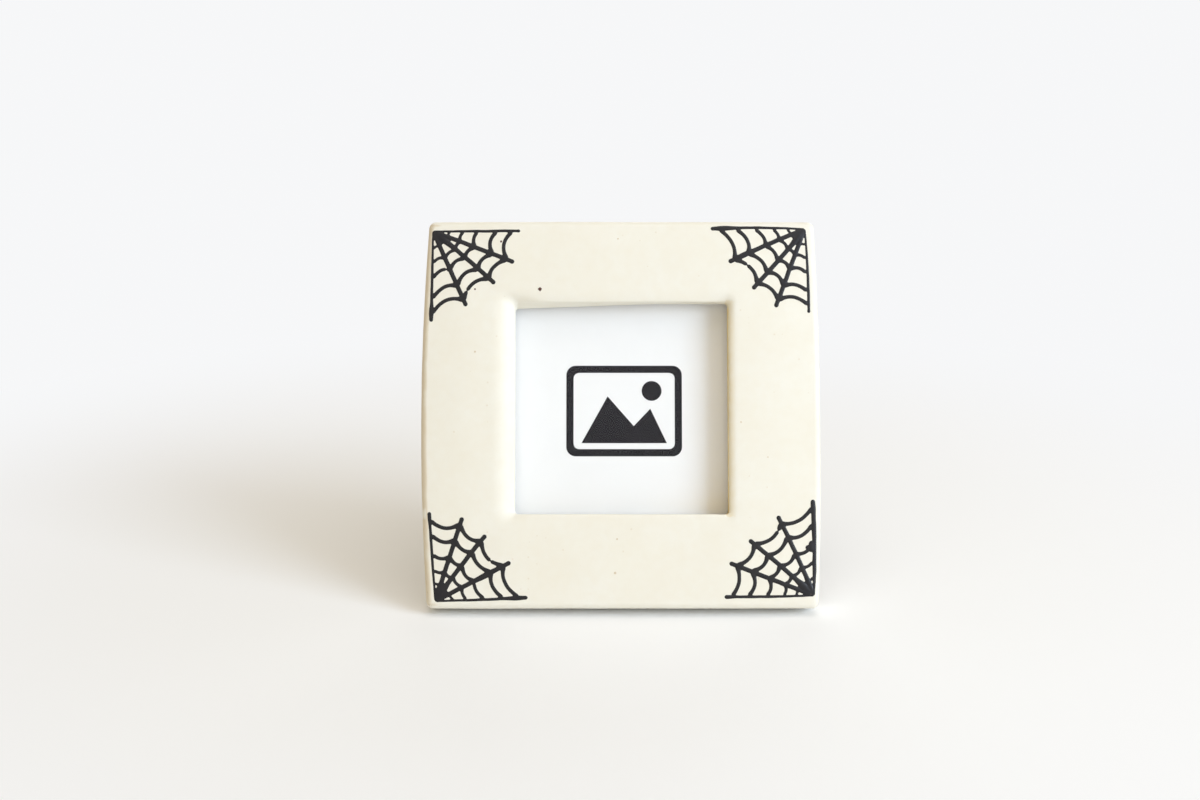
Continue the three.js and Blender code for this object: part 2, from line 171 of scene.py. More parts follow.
def vectors(tree, operation, first, second):
    return put(tree, "ShaderNodeVectorMath", {0: first, 1: second}, operation=operation).outputs[0]


def ramp(tree, value, low, high, lowOut=0.0, highOut=1.0):
    values = {"Value": value, "From Min": low, "From Max": high, "To Min": lowOut, "To Max": highOut}
    return put(tree, "ShaderNodeMapRange", values, interpolation_type="SMOOTHSTEP").outputs["Result"]


# A mask from 0 to 1, taken to a range of its own
def spread(tree, mask, limits):
    return ramp(tree, mask, 0.0, 1.0, *limits)


def mixColour(tree, share, first, second):
    ends = [end if isinstance(end, bpy.types.NodeSocket) else (*end, 1.0) for end in (first, second)]
    return put(tree, "ShaderNodeMix", {0: share, 6: ends[0], 7: ends[1]}, data_type="RGBA").outputs[2]


def mixValue(tree, share, first, second):
    return put(tree, "ShaderNodeMix", {0: share, 2: first, 3: second}, data_type="FLOAT").outputs[0]


def mixShader(tree, share, first, second):
    return put(tree, "ShaderNodeMixShader", {0: share, 1: first, 2: second}).outputs[0]


# One tone after another over a colour, each by a mask and the share of it that counts
def layered(tree, colour, *layers):
    for mask, share, tone in layers:
        colour = mixColour(tree, times(tree, mask, share), colour, tone)
    return colour


def noiseMask(tree, place, scale, detail):
    values = {"Vector": place, "Scale": scale, "Detail": detail}
    return put(tree, "ShaderNodeTexNoise", values).outputs[0]


# Noise drawn out along the slab's own axes
def streaks(tree, place, stretch, detail):
    values = {"Vector": place, "Rotation": (lean, 0, 0), "Scale": stretch}
    return noiseMask(tree, put(tree, "ShaderNodeMapping", values).outputs[0], 1.0, detail)


def shaderGroup(name, inputs, outputs):
    tree = bpy.data.node_groups.new(name, "ShaderNodeTree")
    tree.interface.new_socket("Vector", in_out="INPUT", socket_type="NodeSocketVector")
    for label, start in inputs.items():
        socket = tree.interface.new_socket(label, in_out="INPUT", socket_type="NodeSocketFloat")
        socket.default_value = start
    for label in outputs:
        tree.interface.new_socket(label, in_out="OUTPUT", socket_type="NodeSocketFloat")
    return tree, tree.nodes.new("NodeGroupInput").outputs, tree.nodes.new("NodeGroupOutput").inputs


masks = {
    "broadDetail": 5.0, "fineRatio": 11.0, "fineDetail": 3.0, "gain": 4.0,
    "speckLeast": 0.3, "speckMore": 0.7, "speckCore": 0.6,
    "spotScale": 2200.0, "spotDetail": 2.0, "spotLeast": 0.5, "spotCore": 0.7, "spotDepth": 0.004,
    "rubDetail": 4.0, "rubGain": 1.6, "rubLeast": 0.2, "rubSoft": 0.5,
    "pebbleDetail": 2.0, "pebbleBend": 0.0004, "pebbleEdge": 0.35, "pebbleShare": 0.65, "warpShare": 0.35,
}


# Cloudy changes of tone, with a finer grain beside them
def makeMottle():
    tree, given, made = shaderGroup("mottle", {"Scale": 60.0, "Contrast": 0.5}, ["Mask", "Grain"])
    place = given["Vector"]
    broad = noiseMask(tree, place, given["Scale"], masks["broadDetail"])
    fine = noiseMask(tree, place, times(tree, given["Scale"], masks["fineRatio"]), masks["fineDetail"])
    gain = times(tree, given["Contrast"], masks["gain"])
    for clouds, label in ((broad, "Mask"), (fine, "Grain")):
        centred = sums(tree, "SUBTRACT", clouds, 0.5)
        tree.links.new(sums(tree, "MULTIPLY_ADD", centred, gain, 0.5, clamp=True), made[label])
    return tree


# Scattered specks: a share of the cells holds one, of uneven size
def makeSpecks():
    tree, given, made = shaderGroup("specks", {"Cells": 90.0, "Size": 0.1, "Share": 0.3}, ["Mask"])
    cells = put(tree, "ShaderNodeTexVoronoi", {"Vector": given["Vector"], "Scale": given["Cells"]})
    chance = put(tree, "ShaderNodeSeparateColor", {"Color": cells.outputs["Color"]}).outputs
    uneven = sums(tree, "MULTIPLY_ADD", chance[1], masks["speckMore"], masks["speckLeast"])
    radius = times(tree, given["Size"], uneven)
    spot = ramp(tree, cells.outputs["Distance"], radius, times(tree, radius, masks["speckCore"]))
    held = sums(tree, "LESS_THAN", chance[0], given["Share"])
    tree.links.new(times(tree, spot, held), made["Mask"])
    return tree


# One spot at a known place on the slab's face
def makeIronSpot():
    tree, given, made = shaderGroup("ironSpot", {"Across": 0.0, "Up": 0.0, "Radius": 0.0005}, ["Mask"])
    wander = noiseMask(tree, given["Vector"], masks["spotScale"], masks["spotDetail"])
    axes = put(tree, "ShaderNodeSeparateXYZ", {"Vector": given["Vector"]}).outputs
    across = sums(tree, "SUBTRACT", axes["X"], given["Across"])
    up = sums(tree, "SUBTRACT", axes["Z"], given["Up"])
    away = sums(tree, "SQRT", sums(tree, "MULTIPLY_ADD", across, across, times(tree, up, up)))
    uneven = times(tree, away, sums(tree, "ADD", wander, masks["spotLeast"]))
    inner = times(tree, given["Radius"], masks["spotCore"])
    onFace = sums(tree, "LESS_THAN", axes["Y"], masks["spotDepth"])
    tree.links.new(times(tree, ramp(tree, uneven, given["Radius"], inner), onFace), made["Mask"])
    return tree


# Wear that keeps to the rounded edges and breaks up along them
def makeEdgeRub():
    tree, given, made = shaderGroup("edgeRub", {"Edge": 0.0, "Scale": 200.0, "Reach": 0.5}, ["Mask"])
    uneven = noiseMask(tree, given["Vector"], given["Scale"], masks["rubDetail"])
    gain = sums(tree, "MULTIPLY_ADD", uneven, masks["rubGain"], masks["rubLeast"])
    low = sums(tree, "SUBTRACT", 1.0, given["Reach"])
    high = sums(tree, "ADD", low, masks["rubSoft"])
    tree.links.new(ramp(tree, times(tree, given["Edge"], gain), low, high), made["Mask"])
    return tree


# Pebbled grain pressed into covering paper
def makePressedGrain():
    tree, given, made = shaderGroup("pressedGrain", {"Scale": 900.0}, ["Height"])
    values = {"Vector": given["Vector"], "Scale": given["Scale"], "Detail": masks["pebbleDetail"]}
    warp = put(tree, "ShaderNodeTexNoise", values).outputs
    bent = vectors(tree, "MULTIPLY", warp["Color"], [masks["pebbleBend"]] * 3)
    moved = vectors(tree, "ADD", given["Vector"], bent)
    values = {"Vector": moved, "Scale": given["Scale"]}
    cells = put(tree, "ShaderNodeTexVoronoi", values, feature="DISTANCE_TO_EDGE").outputs
    pebble = times(tree, ramp(tree, cells["Distance"], 0.0, masks["pebbleEdge"]), masks["pebbleShare"])
    tree.links.new(sums(tree, "MULTIPLY_ADD", warp[0], masks["warpShare"], pebble), made["Height"])
    return tree


mottle = makeMottle()
specks = makeSpecks()
ironSpot = makeIronSpot()
edgeRub = makeEdgeRub()
pressedGrain = makePressedGrain()


def newFinish(name):
    material = bpy.data.materials.new(name)
    material.use_nodes = True
    tree = material.node_tree
    return material, tree, nodeOf(tree, "BSDF_PRINCIPLED"), put(tree, "ShaderNodeTexCoord").outputs["Object"]


def useGroup(tree, group, place, values):
    return put(tree, "ShaderNodeGroup", {"Vector": place, **values}, node_tree=group).outputs


def edgeValue(tree):
    return put(tree, "ShaderNodeAttribute", attribute_name="edgeRound").outputs["Fac"]


def addBump(tree, shader, height, strength, distance):
    bump = put(tree, "ShaderNodeBump", {"Height": height, "Strength": strength, "Distance": distance})
    tree.links.new(bump.outputs["Normal"], shader.inputs["Normal"])


# Finishes

# Shares say how much of a mask counts, a roughness runs from one value to another, and a bump has a strength
# and a height in metres
ivory = {
    "body": (0.887, 0.862, 0.772), "warm": (0.845, 0.79, 0.655), "thin": (0.64, 0.49, 0.285),
    "amber": (0.84, 0.65, 0.28), "iron": (0.075, 0.015, 0.008), "tan": (0.52, 0.36, 0.14),
    "fleck": (0.66, 0.54, 0.36), "clay": (0.69, 0.585, 0.44), "grog": (0.42, 0.31, 0.2),
    "clouds": {"Scale": 55.0, "Contrast": 0.55}, "cloudShare": 0.5, "clayCloudShare": 0.3,
    "patches": {"Scale": 310.0, "Contrast": 0.6}, "patchShare": 0.32, "amberPatch": -0.6, "amberShare": -0.7,
    "flecks": {"Cells": 330.0, "Size": 0.16, "Share": 0.2}, "fleckShare": 0.28,
    "worn": {"Scale": 75.0, "Reach": 0.75}, "wornAndShadeShare": 0.5,
    "strays": {"Cells": 62.0, "Size": 0.022, "Share": 0.3}, "strayShare": 0.5,
    "faintShare": 0.5, "spotShare": 0.96,
    "grogs": {"Cells": 520.0, "Size": 0.3, "Share": 0.3}, "grogShare": 0.5,
    "glazeLine": 0.0134, "lineWander": 0.0026, "lineScale": 48.0, "lineDetail": 3.0, "lineSoft": 0.0005,
    "halo": 0.0012, "haloShare": 0.55, "shine": 0.28, "gloss": (0.4, 0.52), "clayRough": 0.86,
    "peelScale": 420.0, "peelDetail": 3.0, "peelHeight": 0.45, "toothScale": 2600.0, "toothDetail": 4.0,
    "bump": (0.3, 0.0002),
    # across and up on the face, and radius, in millimetres
    "spots": [(-29.4, 44.8, 0.78), (-43.4, 62.0, 0.45), (-52.7, 44.8, 0.38)],
    "faintSpots": [
        (-52.6, 22.2, 0.45), (-1.7, -44.8, 0.4), (-2.4, -56.8, 0.5),
        (-1.3, 63.0, 0.35), (42.7, -3.1, 0.35), (52.2, -15.6, 0.3),
    ],
}


def addSpots(tree, onSlab, mask, spots):
    for spot in spots:
        across, up, radius = [value * stance["millimetre"] for value in spot]
        values = {"Across": across, "Up": up, "Radius": radius}
        mask = sums(tree, "MAXIMUM", mask, useGroup(tree, ironSpot, onSlab, values)["Mask"])
    return mask


def ivoryGlaze():
    material, tree, shader, place = newFinish("ivoryGlaze")
    shift = leaned.inverted().translation
    shift = shift + Vector((0, stance["glassDepth"], stance["windowRise"])) * stance["millimetre"]
    values = {"Vector": place, "Location": shift, "Rotation": (lean, 0, 0)}
    onSlab = put(tree, "ShaderNodeMapping", values).outputs[0]
    edge = edgeValue(tree)
    cloud = useGroup(tree, mottle, place, ivory["clouds"])
    patch = useGroup(tree, mottle, place, ivory["patches"])["Mask"]
    fleck = useGroup(tree, specks, place, ivory["flecks"])["Mask"]
    # the thin tone over worn edges is real wear, and along the left outer edge it is also painted shade
    worn = useGroup(tree, edgeRub, place, {"Edge": edge, **ivory["worn"]})["Mask"]
    colour = layered(
        tree, ivory["body"], (cloud["Mask"], ivory["cloudShare"], ivory["warm"]),
        (patch, ivory["patchShare"], ivory["warm"]), (fleck, ivory["fleckShare"], ivory["fleck"]),
        (worn, ivory["wornAndShadeShare"], ivory["thin"]),
    )
    # the edge value is below zero where the glaze turned amber
    uneven = sums(tree, "MULTIPLY_ADD", patch, ivory["amberPatch"], ivory["amberShare"])
    pooled = sums(tree, "MULTIPLY", edge, uneven, clamp=True)
    colour = mixColour(tree, pooled, colour, ivory["amber"])
    faint = addSpots(tree, onSlab, 0.0, ivory["faintSpots"])
    stray = useGroup(tree, specks, place, ivory["strays"])["Mask"]
    dark = addSpots(tree, onSlab, times(tree, stray, ivory["strayShare"]), ivory["spots"])
    # bare clay at the back, past an uneven glaze line
    depth = put(tree, "ShaderNodeSeparateXYZ", {"Vector": onSlab}).outputs["Y"]
    wander = noiseMask(tree, place, ivory["lineScale"], ivory["lineDetail"])
    line = sums(tree, "MULTIPLY_ADD", wander, ivory["lineWander"], depth)
    bare = ramp(tree, line, ivory["glazeLine"], ivory["glazeLine"] + ivory["lineSoft"])
    halo = ramp(tree, line, ivory["glazeLine"] - ivory["halo"], ivory["glazeLine"])
    colour = layered(
        tree, colour, (faint, ivory["faintShare"], ivory["tan"]), (dark, ivory["spotShare"], ivory["iron"]),
        (halo, ivory["haloShare"], ivory["thin"]),
    )
    grog = useGroup(tree, specks, place, ivory["grogs"])["Mask"]
    clay = layered(
        tree, ivory["clay"], (grog, ivory["grogShare"], ivory["grog"]),
        (cloud["Mask"], ivory["clayCloudShare"], ivory["body"]),
    )
    feed(tree, shader, {
        "Base Color": mixColour(tree, bare, colour, clay),
        "Roughness": mixValue(tree, bare, spread(tree, cloud["Grain"], ivory["gloss"]), ivory["clayRough"]),
        "Specular IOR Level": ivory["shine"],
    })
    peel = times(tree, noiseMask(tree, place, ivory["peelScale"], ivory["peelDetail"]), ivory["peelHeight"])
    tooth = noiseMask(tree, place, ivory["toothScale"], ivory["toothDetail"])
    addBump(tree, shader, mixValue(tree, bare, peel, sums(tree, "ADD", tooth, grog)), *ivory["bump"])
    return material


# Each layer has its mask, the share of it that counts and its tone; roughness and bump go by a mask too
boardTones = {"black": (0.021, 0.0195, 0.0205), "fibre": (0.2, 0.115, 0.062)}
looks = {
    "blackGlaze": {
        "ink": (0.006, 0.0055, 0.0065), "thin": (0.021, 0.017, 0.016), "rub": (0.06, 0.048, 0.04),
        "clouds": {"Scale": 240.0, "Contrast": 0.8}, "specks": {"Cells": 700.0, "Size": 0.28, "Share": 0.14},
        "fine": (1400.0, 3.0), "pitDepth": 0.5,
        "base": "ink", "layers": [("cloud", 0.5, "thin"), ("specks", 0.6, "rub")],
        "rough": ("grain", 0.3, 0.5), "shine": 0.36, "bump": ("fine", 0.35, 0.0001),
    },
    "printPaper": {
        "white": (0.915, 0.922, 0.925), "shade": (0.898, 0.905, 0.908),
        "clouds": {"Scale": 90.0, "Contrast": 0.4}, "fine": (3200.0, 4.0),
        "base": "white", "layers": [("cloud", 1.0, "shade")],
        "rough": ("grain", 0.42, 0.56), "bump": ("fine", 0.12, 0.00005),
    },
    "printInk": {
        "ink": (0.008, 0.007, 0.009), "thin": (0.018, 0.016, 0.019),
        "clouds": {"Scale": 300.0, "Contrast": 0.5},
        "base": "ink", "layers": [("grain", 1.0, "thin")], "rough": ("cloud", 0.5, 0.65), "shine": 0.1,
    },
    "greyCard": {
        "grey": (0.47, 0.43, 0.36), "dark": (0.33, 0.29, 0.235), "fibre": (0.62, 0.57, 0.48),
        "clouds": {"Scale": 120.0, "Contrast": 0.6}, "specks": {"Cells": 600.0, "Size": 0.3, "Share": 0.2},
        "base": "grey", "layers": [("grain", 1.0, "dark"), ("specks", 0.6, "fibre")],
        "rough": ("cloud", 0.8, 0.92), "bump": ("grain", 0.3, 0.0001),
    },
    "coverPaper": {
        **boardTones, "rub": (0.075, 0.066, 0.06), "clouds": {"Scale": 70.0, "Contrast": 0.5},
        "worn": {"Scale": 260.0, "Reach": 0.6}, "pebbles": {"Scale": 1050.0},
        "base": "black", "layers": [("pebbles", 0.3, "rub"), ("worn", 0.6, "fibre")],
        "rough": ("cloud", 0.42, 0.58), "bump": ("pebbles", 0.5, 0.00012),
    },
    "boardEdge": {
        **boardTones, "dark": (0.1, 0.055, 0.03), "clouds": {"Scale": 300.0, "Contrast": 0.6},
        "lines": ((90.0, 2600.0, 90.0), 4.0), "bands": (0.3, 0.7),
        "base": "dark", "layers": [("bands", 1.0, "fibre"), ("cloud", 0.3, "black")],
        "rough": ("grain", 0.78, 0.92), "bump": ("lines", 0.5, 0.00015),
    },
    "whiteNylon": {
        "white": (0.82, 0.8, 0.74), "shade": (0.74, 0.715, 0.64), "clouds": {"Scale": 400.0, "Contrast": 0.4},
        "base": "white", "layers": [("cloud", 1.0, "shade")], "rough": ("grain", 0.4, 0.55),
    },
}


def cloudedFinish(name):
    look = looks[name]
    material, tree, shader, place = newFinish(name)
    cloud = useGroup(tree, mottle, place, look["clouds"])
    found = {"cloud": cloud["Mask"], "grain": cloud["Grain"]}
    if "specks" in look:
        found["specks"] = useGroup(tree, specks, place, look["specks"])["Mask"]
    if "worn" in look:
        found["worn"] = useGroup(tree, edgeRub, place, {"Edge": edgeValue(tree), **look["worn"]})["Mask"]
    if "pebbles" in look:
        found["pebbles"] = useGroup(tree, pressedGrain, place, look["pebbles"])["Height"]
    if "lines" in look:
        found["lines"] = streaks(tree, place, *look["lines"])
        found["bands"] = ramp(tree, found["lines"], *look["bands"])
    if "fine" in look:
        found["fine"] = noiseMask(tree, place, *look["fine"])
    if "pitDepth" in look:
        pits = times(tree, found["specks"], look["pitDepth"])
        found["fine"] = sums(tree, "SUBTRACT", found["fine"], pits)
    mask, *rough = look["rough"]
    layers = [(found[key], share, look[tone]) for key, share, tone in look["layers"]]
    feed(tree, shader, {
        "Base Color": layered(tree, look[look["base"]], *layers),
        "Roughness": spread(tree, found[mask], rough),
    })
    if "shine" in look:
        feed(tree, shader, {"Specular IOR Level": look["shine"]})
    if "bump" in look:
        mask, *bump = look["bump"]
        addBump(tree, shader, found[mask], *bump)
    return material


# The index is low, as of glass coated against glare
pane = {
    "clear": (1.0, 1.0, 1.0, 1.0), "index": 1.2,
    "smears": {"Scale": 45.0, "Contrast": 0.7}, "rough": (0.004, 0.022),
}


def clearGlass():
    material, tree, shader, place = newFinish("clearGlass")
    smear = useGroup(tree, mottle, place, pane["smears"])["Mask"]
    feed(tree, shader, {
        "Transmission Weight": 1.0, "IOR": pane["index"], "Base Color": pane["clear"],
        "Roughness": spread(tree, smear, pane["rough"]),
    })
    # lamps and bounced light pass straight through to the print
    rays = put(tree, "ShaderNodeLightPath").outputs
    clear = put(tree, "ShaderNodeBsdfTransparent", {"Color": pane["clear"]}).outputs[0]
    forBounces = mixShader(tree, rays["Is Diffuse Ray"], shader.outputs[0], clear)
    forLamps = mixShader(tree, rays["Is Shadow Ray"], forBounces, clear)
    feed(tree, nodeOf(tree, "OUTPUT_MATERIAL"), {"Surface": forLamps})
    return material


plating = {
    "nickel": {
        "bright": (0.64, 0.61, 0.555), "dull": (0.57, 0.54, 0.49), "rub": (0.78, 0.76, 0.71),
        "rough": (0.22, 0.4),
    },
    "zinc": {
        "bright": (0.58, 0.58, 0.58), "dull": (0.5, 0.5, 0.5), "rub": (0.74, 0.74, 0.735),
        "rough": (0.28, 0.5),
    },
    "clouds": {"Scale": 160.0, "Contrast": 0.45}, "worn": {"Scale": 500.0, "Reach": 0.7},
    "brush": (350.0, 6000.0, 6000.0), "brushDetail": 3.0, "brushShare": 0.6, "grainShare": 0.4,
    "brushLow": 0.2, "brushHigh": 0.8, "bump": (0.08, 0.00003),
}


def platedSteel(name):
    tones = plating[name]
    material, tree, shader, place = newFinish(name + "Steel")
    cloud = useGroup(tree, mottle, place, plating["clouds"])
    lines = streaks(tree, place, plating["brush"], plating["brushDetail"])
    worn = useGroup(tree, edgeRub, place, {"Edge": edgeValue(tree), **plating["worn"]})["Mask"]
    colour = mixColour(tree, cloud["Mask"], tones["bright"], tones["dull"])
    grain = times(tree, cloud["Grain"], plating["grainShare"])
    brushed = sums(tree, "MULTIPLY_ADD", lines, plating["brushShare"], grain)
    feed(tree, shader, {
        "Metallic": 1.0,
        "Base Color": mixColour(tree, worn, colour, tones["rub"]),
        "Roughness": ramp(tree, brushed, plating["brushLow"], plating["brushHigh"], *tones["rough"]),
    })
    addBump(tree, shader, lines, *plating["bump"])
    return material


finishes = {
    "ivory_glaze": ivoryGlaze(), "clear_glass": clearGlass(),
    "nickel_steel": platedSteel("nickel"), "zinc_steel": platedSteel("zinc"),
    "black_glaze": cloudedFinish("blackGlaze"), "white_paper": cloudedFinish("printPaper"),
    "grey_card": cloudedFinish("greyCard"), "black_board": cloudedFinish("coverPaper"),
    "white_nylon": cloudedFinish("whiteNylon"),
}
inkFinish = cloudedFinish("printInk")
edgeFinish = cloudedFinish("boardEdge")
for row in frame["record"]["subparts"]:
    node = frame["nodes"][row["node"]]
    node.data.materials.clear()
    node.data.materials.append(finishes[row["material_slot"]])
print("finishes mixed:", len(finishes) + 2)


# Mesh helpers

making = {
    "merge": 1e-4, "mergeSlab": 1e-5, "mergeCut": 1e-3,
    "flatFace": 0.999, "edgeSteps": 2, "cutOver": 1.0,
}


def bareMesh(name, points, faces, edges=()):
    mesh = bpy.data.meshes.new(name)
    mesh.from_pydata(points, edges, faces)
    return mesh


# Back from a bmesh, with all faces turned outwards
def reread(work, mesh):
    bmesh.ops.recalc_face_normals(work, faces=work.faces)
    work.to_mesh(mesh)
    work.free()
    return mesh


def mended(mesh, merge=making["merge"]):
    work = bmesh.new()
    work.from_mesh(mesh)
    bmesh.ops.remove_doubles(work, verts=work.verts, dist=merge)
    return reread(work, mesh)


def trial(data):
    item = bpy.data.objects.new("trial", data)
    scene.collection.objects.link(item)
    return item


def evaluated(item, name):
    graph = bpy.context.evaluated_depsgraph_get()
    mesh = bpy.data.meshes.new_from_object(item.evaluated_get(graph))
    source = item.data
    if item.type == "MESH":
        item.modifiers.clear()
    bpy.data.objects.remove(item)
    bpy.data.batch_remove([source])
    mesh.name = name  # free again now
    return mesh


def joined(mesh, tools, operation):
    item = trial(mesh)
    helpers = [trial(tool) for tool in tools]
    for helper in helpers:
        change = item.modifiers.new("change", "BOOLEAN")
        change.operation = operation
        change.solver = "EXACT"
        change.object = helper
    result = evaluated(item, mesh.name)
    for helper in helpers:
        bpy.data.objects.remove(helper)
    return result


# Turned about y from a profile of radius and place along the axis
def turned(name, profile, sides):
    points, faces, rings = [], [], []
    for radius, along in profile:
        if radius == 0:
            rings.append([len(points)] * sides)
            points.append((0, along, 0))
            continue
        rings.append([len(points) + step for step in range(sides)])
        for step in range(sides):
            angle = 2 * math.pi * step / sides
            points.append((radius * math.cos(angle), along, radius * math.sin(angle)))
    for near, far in zip(rings, rings[1:]):
        for step in range(sides):
            after = (step + 1) % sides
            corners = [near[step], near[after], far[after], far[step]]
            faces.append(list(dict.fromkeys(corners)))
    return mended(bareMesh(name, points, [face for face in faces if len(face) > 2]))


# The same about x, from a profile of place along the axis and radius
def crossBar(name, profile, sides):
    mesh = turned(name, [(radius, along) for along, radius in profile], sides)
    mesh.transform(Matrix.Rotation(-math.pi / 2, 4, "Z"))
    return mesh


def drillBit(radius, start, end, x, z, sides):
    mesh = turned("drill", [(0, start), (radius, start), (radius, end), (0, end)], sides)
    mesh.transform(Matrix.Translation((x, 0, z)))
    return mesh


def blockMesh(name, low, high):
    work = bmesh.new()
    bmesh.ops.create_cube(work, size=1)
    middle = (Vector(low) + Vector(high)) / 2
    size = Matrix.Diagonal((*(Vector(high) - Vector(low)), 1))
    bmesh.ops.transform(work, matrix=Matrix.Translation(middle) @ size, verts=work.verts)
    mesh = bpy.data.meshes.new(name)
    work.to_mesh(mesh)
    work.free()
    return mesh


def arcPoints(middleX, middleZ, radius, start, end, steps=8):
    turnBy = (end - start) / steps
    angles = [math.radians(start + turnBy * step) for step in range(steps + 1)]
    return [(middleX + radius * math.cos(a), middleZ + radius * math.sin(a)) for a in angles]


def roundedBox(left, right, bottom, top, radius):
    points = arcPoints(right - radius, bottom + radius, radius, -90, 0)
    points += arcPoints(right - radius, top - radius, radius, 0, 90)
    points += arcPoints(left + radius, top - radius, radius, 90, 180)
    return points + arcPoints(left + radius, bottom + radius, radius, 180, 270)


def circle(x, z, radius, steps):
    return arcPoints(x, z, radius, 0, 360, steps)[:-1]


# A flat sheet with softened edges, from outlines in x and z: the outer one first and anticlockwise, holes
# clockwise
def stamped(name, outlines, front, back, edge):
    drawing = bpy.data.curves.new(name, "CURVE")
    drawing.dimensions = "2D"
    drawing.fill_mode = "BOTH"
    drawing.extrude = (back - front) / 2 - edge
    drawing.bevel_depth = edge
    drawing.bevel_resolution = making["edgeSteps"]
    drawing.offset = -edge
    for outline in outlines:
        spline = drawing.splines.new("POLY")
        spline.points.add(len(outline) - 1)
        for point, (x, z) in zip(spline.points, outline):
            point.co = (x, z, 0, 1)
        spline.use_cyclic_u = True
    mesh = evaluated(trial(drawing), name)
    mesh.transform(Matrix.Translation((0, (front + back) / 2, 0)) @ Matrix.Rotation(math.pi / 2, 4, "X"))
    return mended(mesh)


# A second line just inside the rim of both flat faces, so that wear stays at the edges
def withRim(mesh, width):
    work = bmesh.new()
    work.from_mesh(mesh)
    work.normal_update()
    for way in (-1, 1):
        flat = [face for face in work.faces if face.normal.y * way > making["flatFace"]]
        bmesh.ops.inset_region(work, faces=flat, thickness=width, use_even_offset=False)
        inner = set(flat)
        edges = {edge for face in flat for edge in face.edges}
        rim = [edge for edge in edges if any(face not in inner for face in edge.link_faces)]
        bmesh.ops.delete(work, geom=flat, context="FACES_KEEP_BOUNDARY")
        bmesh.ops.triangle_fill(work, edges=rim, use_beauty=True, normal=(0, way, 0))
    return reread(work, mesh)


# How sharply each point's surroundings bend outwards, from 0 to 1, for the wear in the finishes; an adjusted
# value may add more, as the slab's painted shade on its left outer edge
def markEdges(mesh, reach, rounds, adjusted=None):
    bends = [0.0] * len(mesh.vertices)
    ties = [(edge.vertices[0], edge.vertices[1]) for edge in mesh.edges]
    for one, other in ties:
        apart = mesh.vertices[other].co - mesh.vertices[one].co
        if apart.length_squared > 0:
            turn = mesh.vertices[other].normal - mesh.vertices[one].normal
            bend = min(max(turn.dot(apart) / apart.length_squared * reach, 0.0), 1.0)
            bends[one] = max(bends[one], bend)
            bends[other] = max(bends[other], bend)
    for _ in range(rounds):
        total, count = bends[:], [1] * len(bends)
        for one, other in ties:
            total[one] += bends[other]
            total[other] += bends[one]
            count[one] += 1
            count[other] += 1
        bends = [value / number for value, number in zip(total, count)]
    if adjusted:
        bends = [adjusted(bend, point.co) for bend, point in zip(bends, mesh.vertices)]
    layer = mesh.attributes.new("edgeRound", "FLOAT", "POINT")
    layer.data.foreach_set("value", bends)


def smoothed(mesh, sharp):
    for face in mesh.polygons:
        face.use_smooth = True
    mesh.set_sharp_from_angle(angle=math.radians(sharp))
    return mesh


def addPiece(mesh, place, body, slot, *nodes):
    mesh.transform(place)
    if not mesh.materials:
        mesh.materials.append(finishes[slot])
    piece = bpy.data.objects.new(mesh.name, mesh)
    scene.collection.objects.link(piece)
    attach(piece, body)
    if nodes:
        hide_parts(*nodes)


# Ceramic slab

slab = {
    "half": 69.5, "swellLeft": 2.5, "swellRight": 1.8, "footDrift": 0.6, "depth": 15.25,
    "outlineCorner": 2.4, "faceCorner": 0.8, "frontRound": 2.2, "backRound": 2.4,
    "crown": 0.3, "fallBack": 1.0, "fallFrom": 42.0,
    "ledge": 7.5, "rebateHalf": 43.0, "rebateCorner": 1.5, "rebateChamfer": 0.5,
    "windowHalf": 38.0, "windowCorner": 1.2, "windowDrift": -0.4, "moreRight": 0.8, "moreTop": 0.3,
    "flareLeft": 8.6, "flareRight": 3.4, "flareTop": 5.4, "flareBottom": 5.4, "flareCorner": 4.6,
    "depthLeft": 5.0, "depthRight": 1.5, "depthLevel": 0.95, "depthTurn": 0.36,
    "lipRun": 3.6, "topSlope": 1.7, "topSlopeEnd": 10.0, "scoop": 1.3, "scoopReach": 6.0,
    "sideSteps": 52, "cornerSteps": 8, "lipSteps": 14, "roundSteps": 10, "wallSteps": 4, "faceSteps": 16,
    "outerSteps": 7, "backSteps": 8, "rebateSteps": 4, "ledgeSteps": 2,
    "wobble": 0.16, "wobbleSize": 34.0, "dimple": 0.05, "dimpleSize": 9.0, "dimpleShift": (7.0, 3.0, 5.0),
    "rebateHold": 0.2, "rebateMargin": 1.0,
    "plugHole": 2.35, "plugDepth": 8.7, "plugAcross": 50.0, "plugApart": 50.0,
    "drillEnd": 18.0, "drillSides": 32,
    # the left edge width below is the band along the left outer edge that is painted darker as shade
    "wearReach": 1.7, "wearRounds": 2, "sharp": 50, "thinElsewhere": 0.3, "leftShadeBand": 3.0, "clearEnds": 1.0,
    "amberLip": 0.36, "amberReach": 2.6, "pooledFrom": 8.0, "pooledTo": 30.0,
    "underLip": 0.2, "pastLedge": 0.1, "nearSill": 0.6,
}


def slabLoop(left, right, bottom, top, radius, depth, swell=0.0):
    low, high = bottom + radius, top - radius
    near, far = left + radius, right - radius
    sides = [((near, bottom), (far, bottom)), ((right, low), (right, high)),
             ((far, top), (near, top)), ((left, high), (left, low))]
    middles = [(far, low), (far, high), (near, high), (near, low)]
    flat = []
    for quarter, (start, end) in enumerate(sides):
        for step in range(slab["sideSteps"]):
            share = step / slab["sideSteps"]
            flat.append((start[0] + (end[0] - start[0]) * share, start[1] + (end[1] - start[1]) * share))
        corner = arcPoints(*middles[quarter], radius, quarter * 90 - 90, quarter * 90, slab["cornerSteps"])
        flat += corner[:-1]
    loop = []
    for x, z in flat:
        level = z / slab["half"]
        bow = slab["swellLeft"] if x < 0 else slab["swellRight"]
        drift = slab["footDrift"] * max(0.0, -level) * max(0.0, x / slab["half"])
        loop.append(Vector((x + swell * (bow * x / slab["half"] * (1 - level * level) + drift), depth, z)))
    return loop


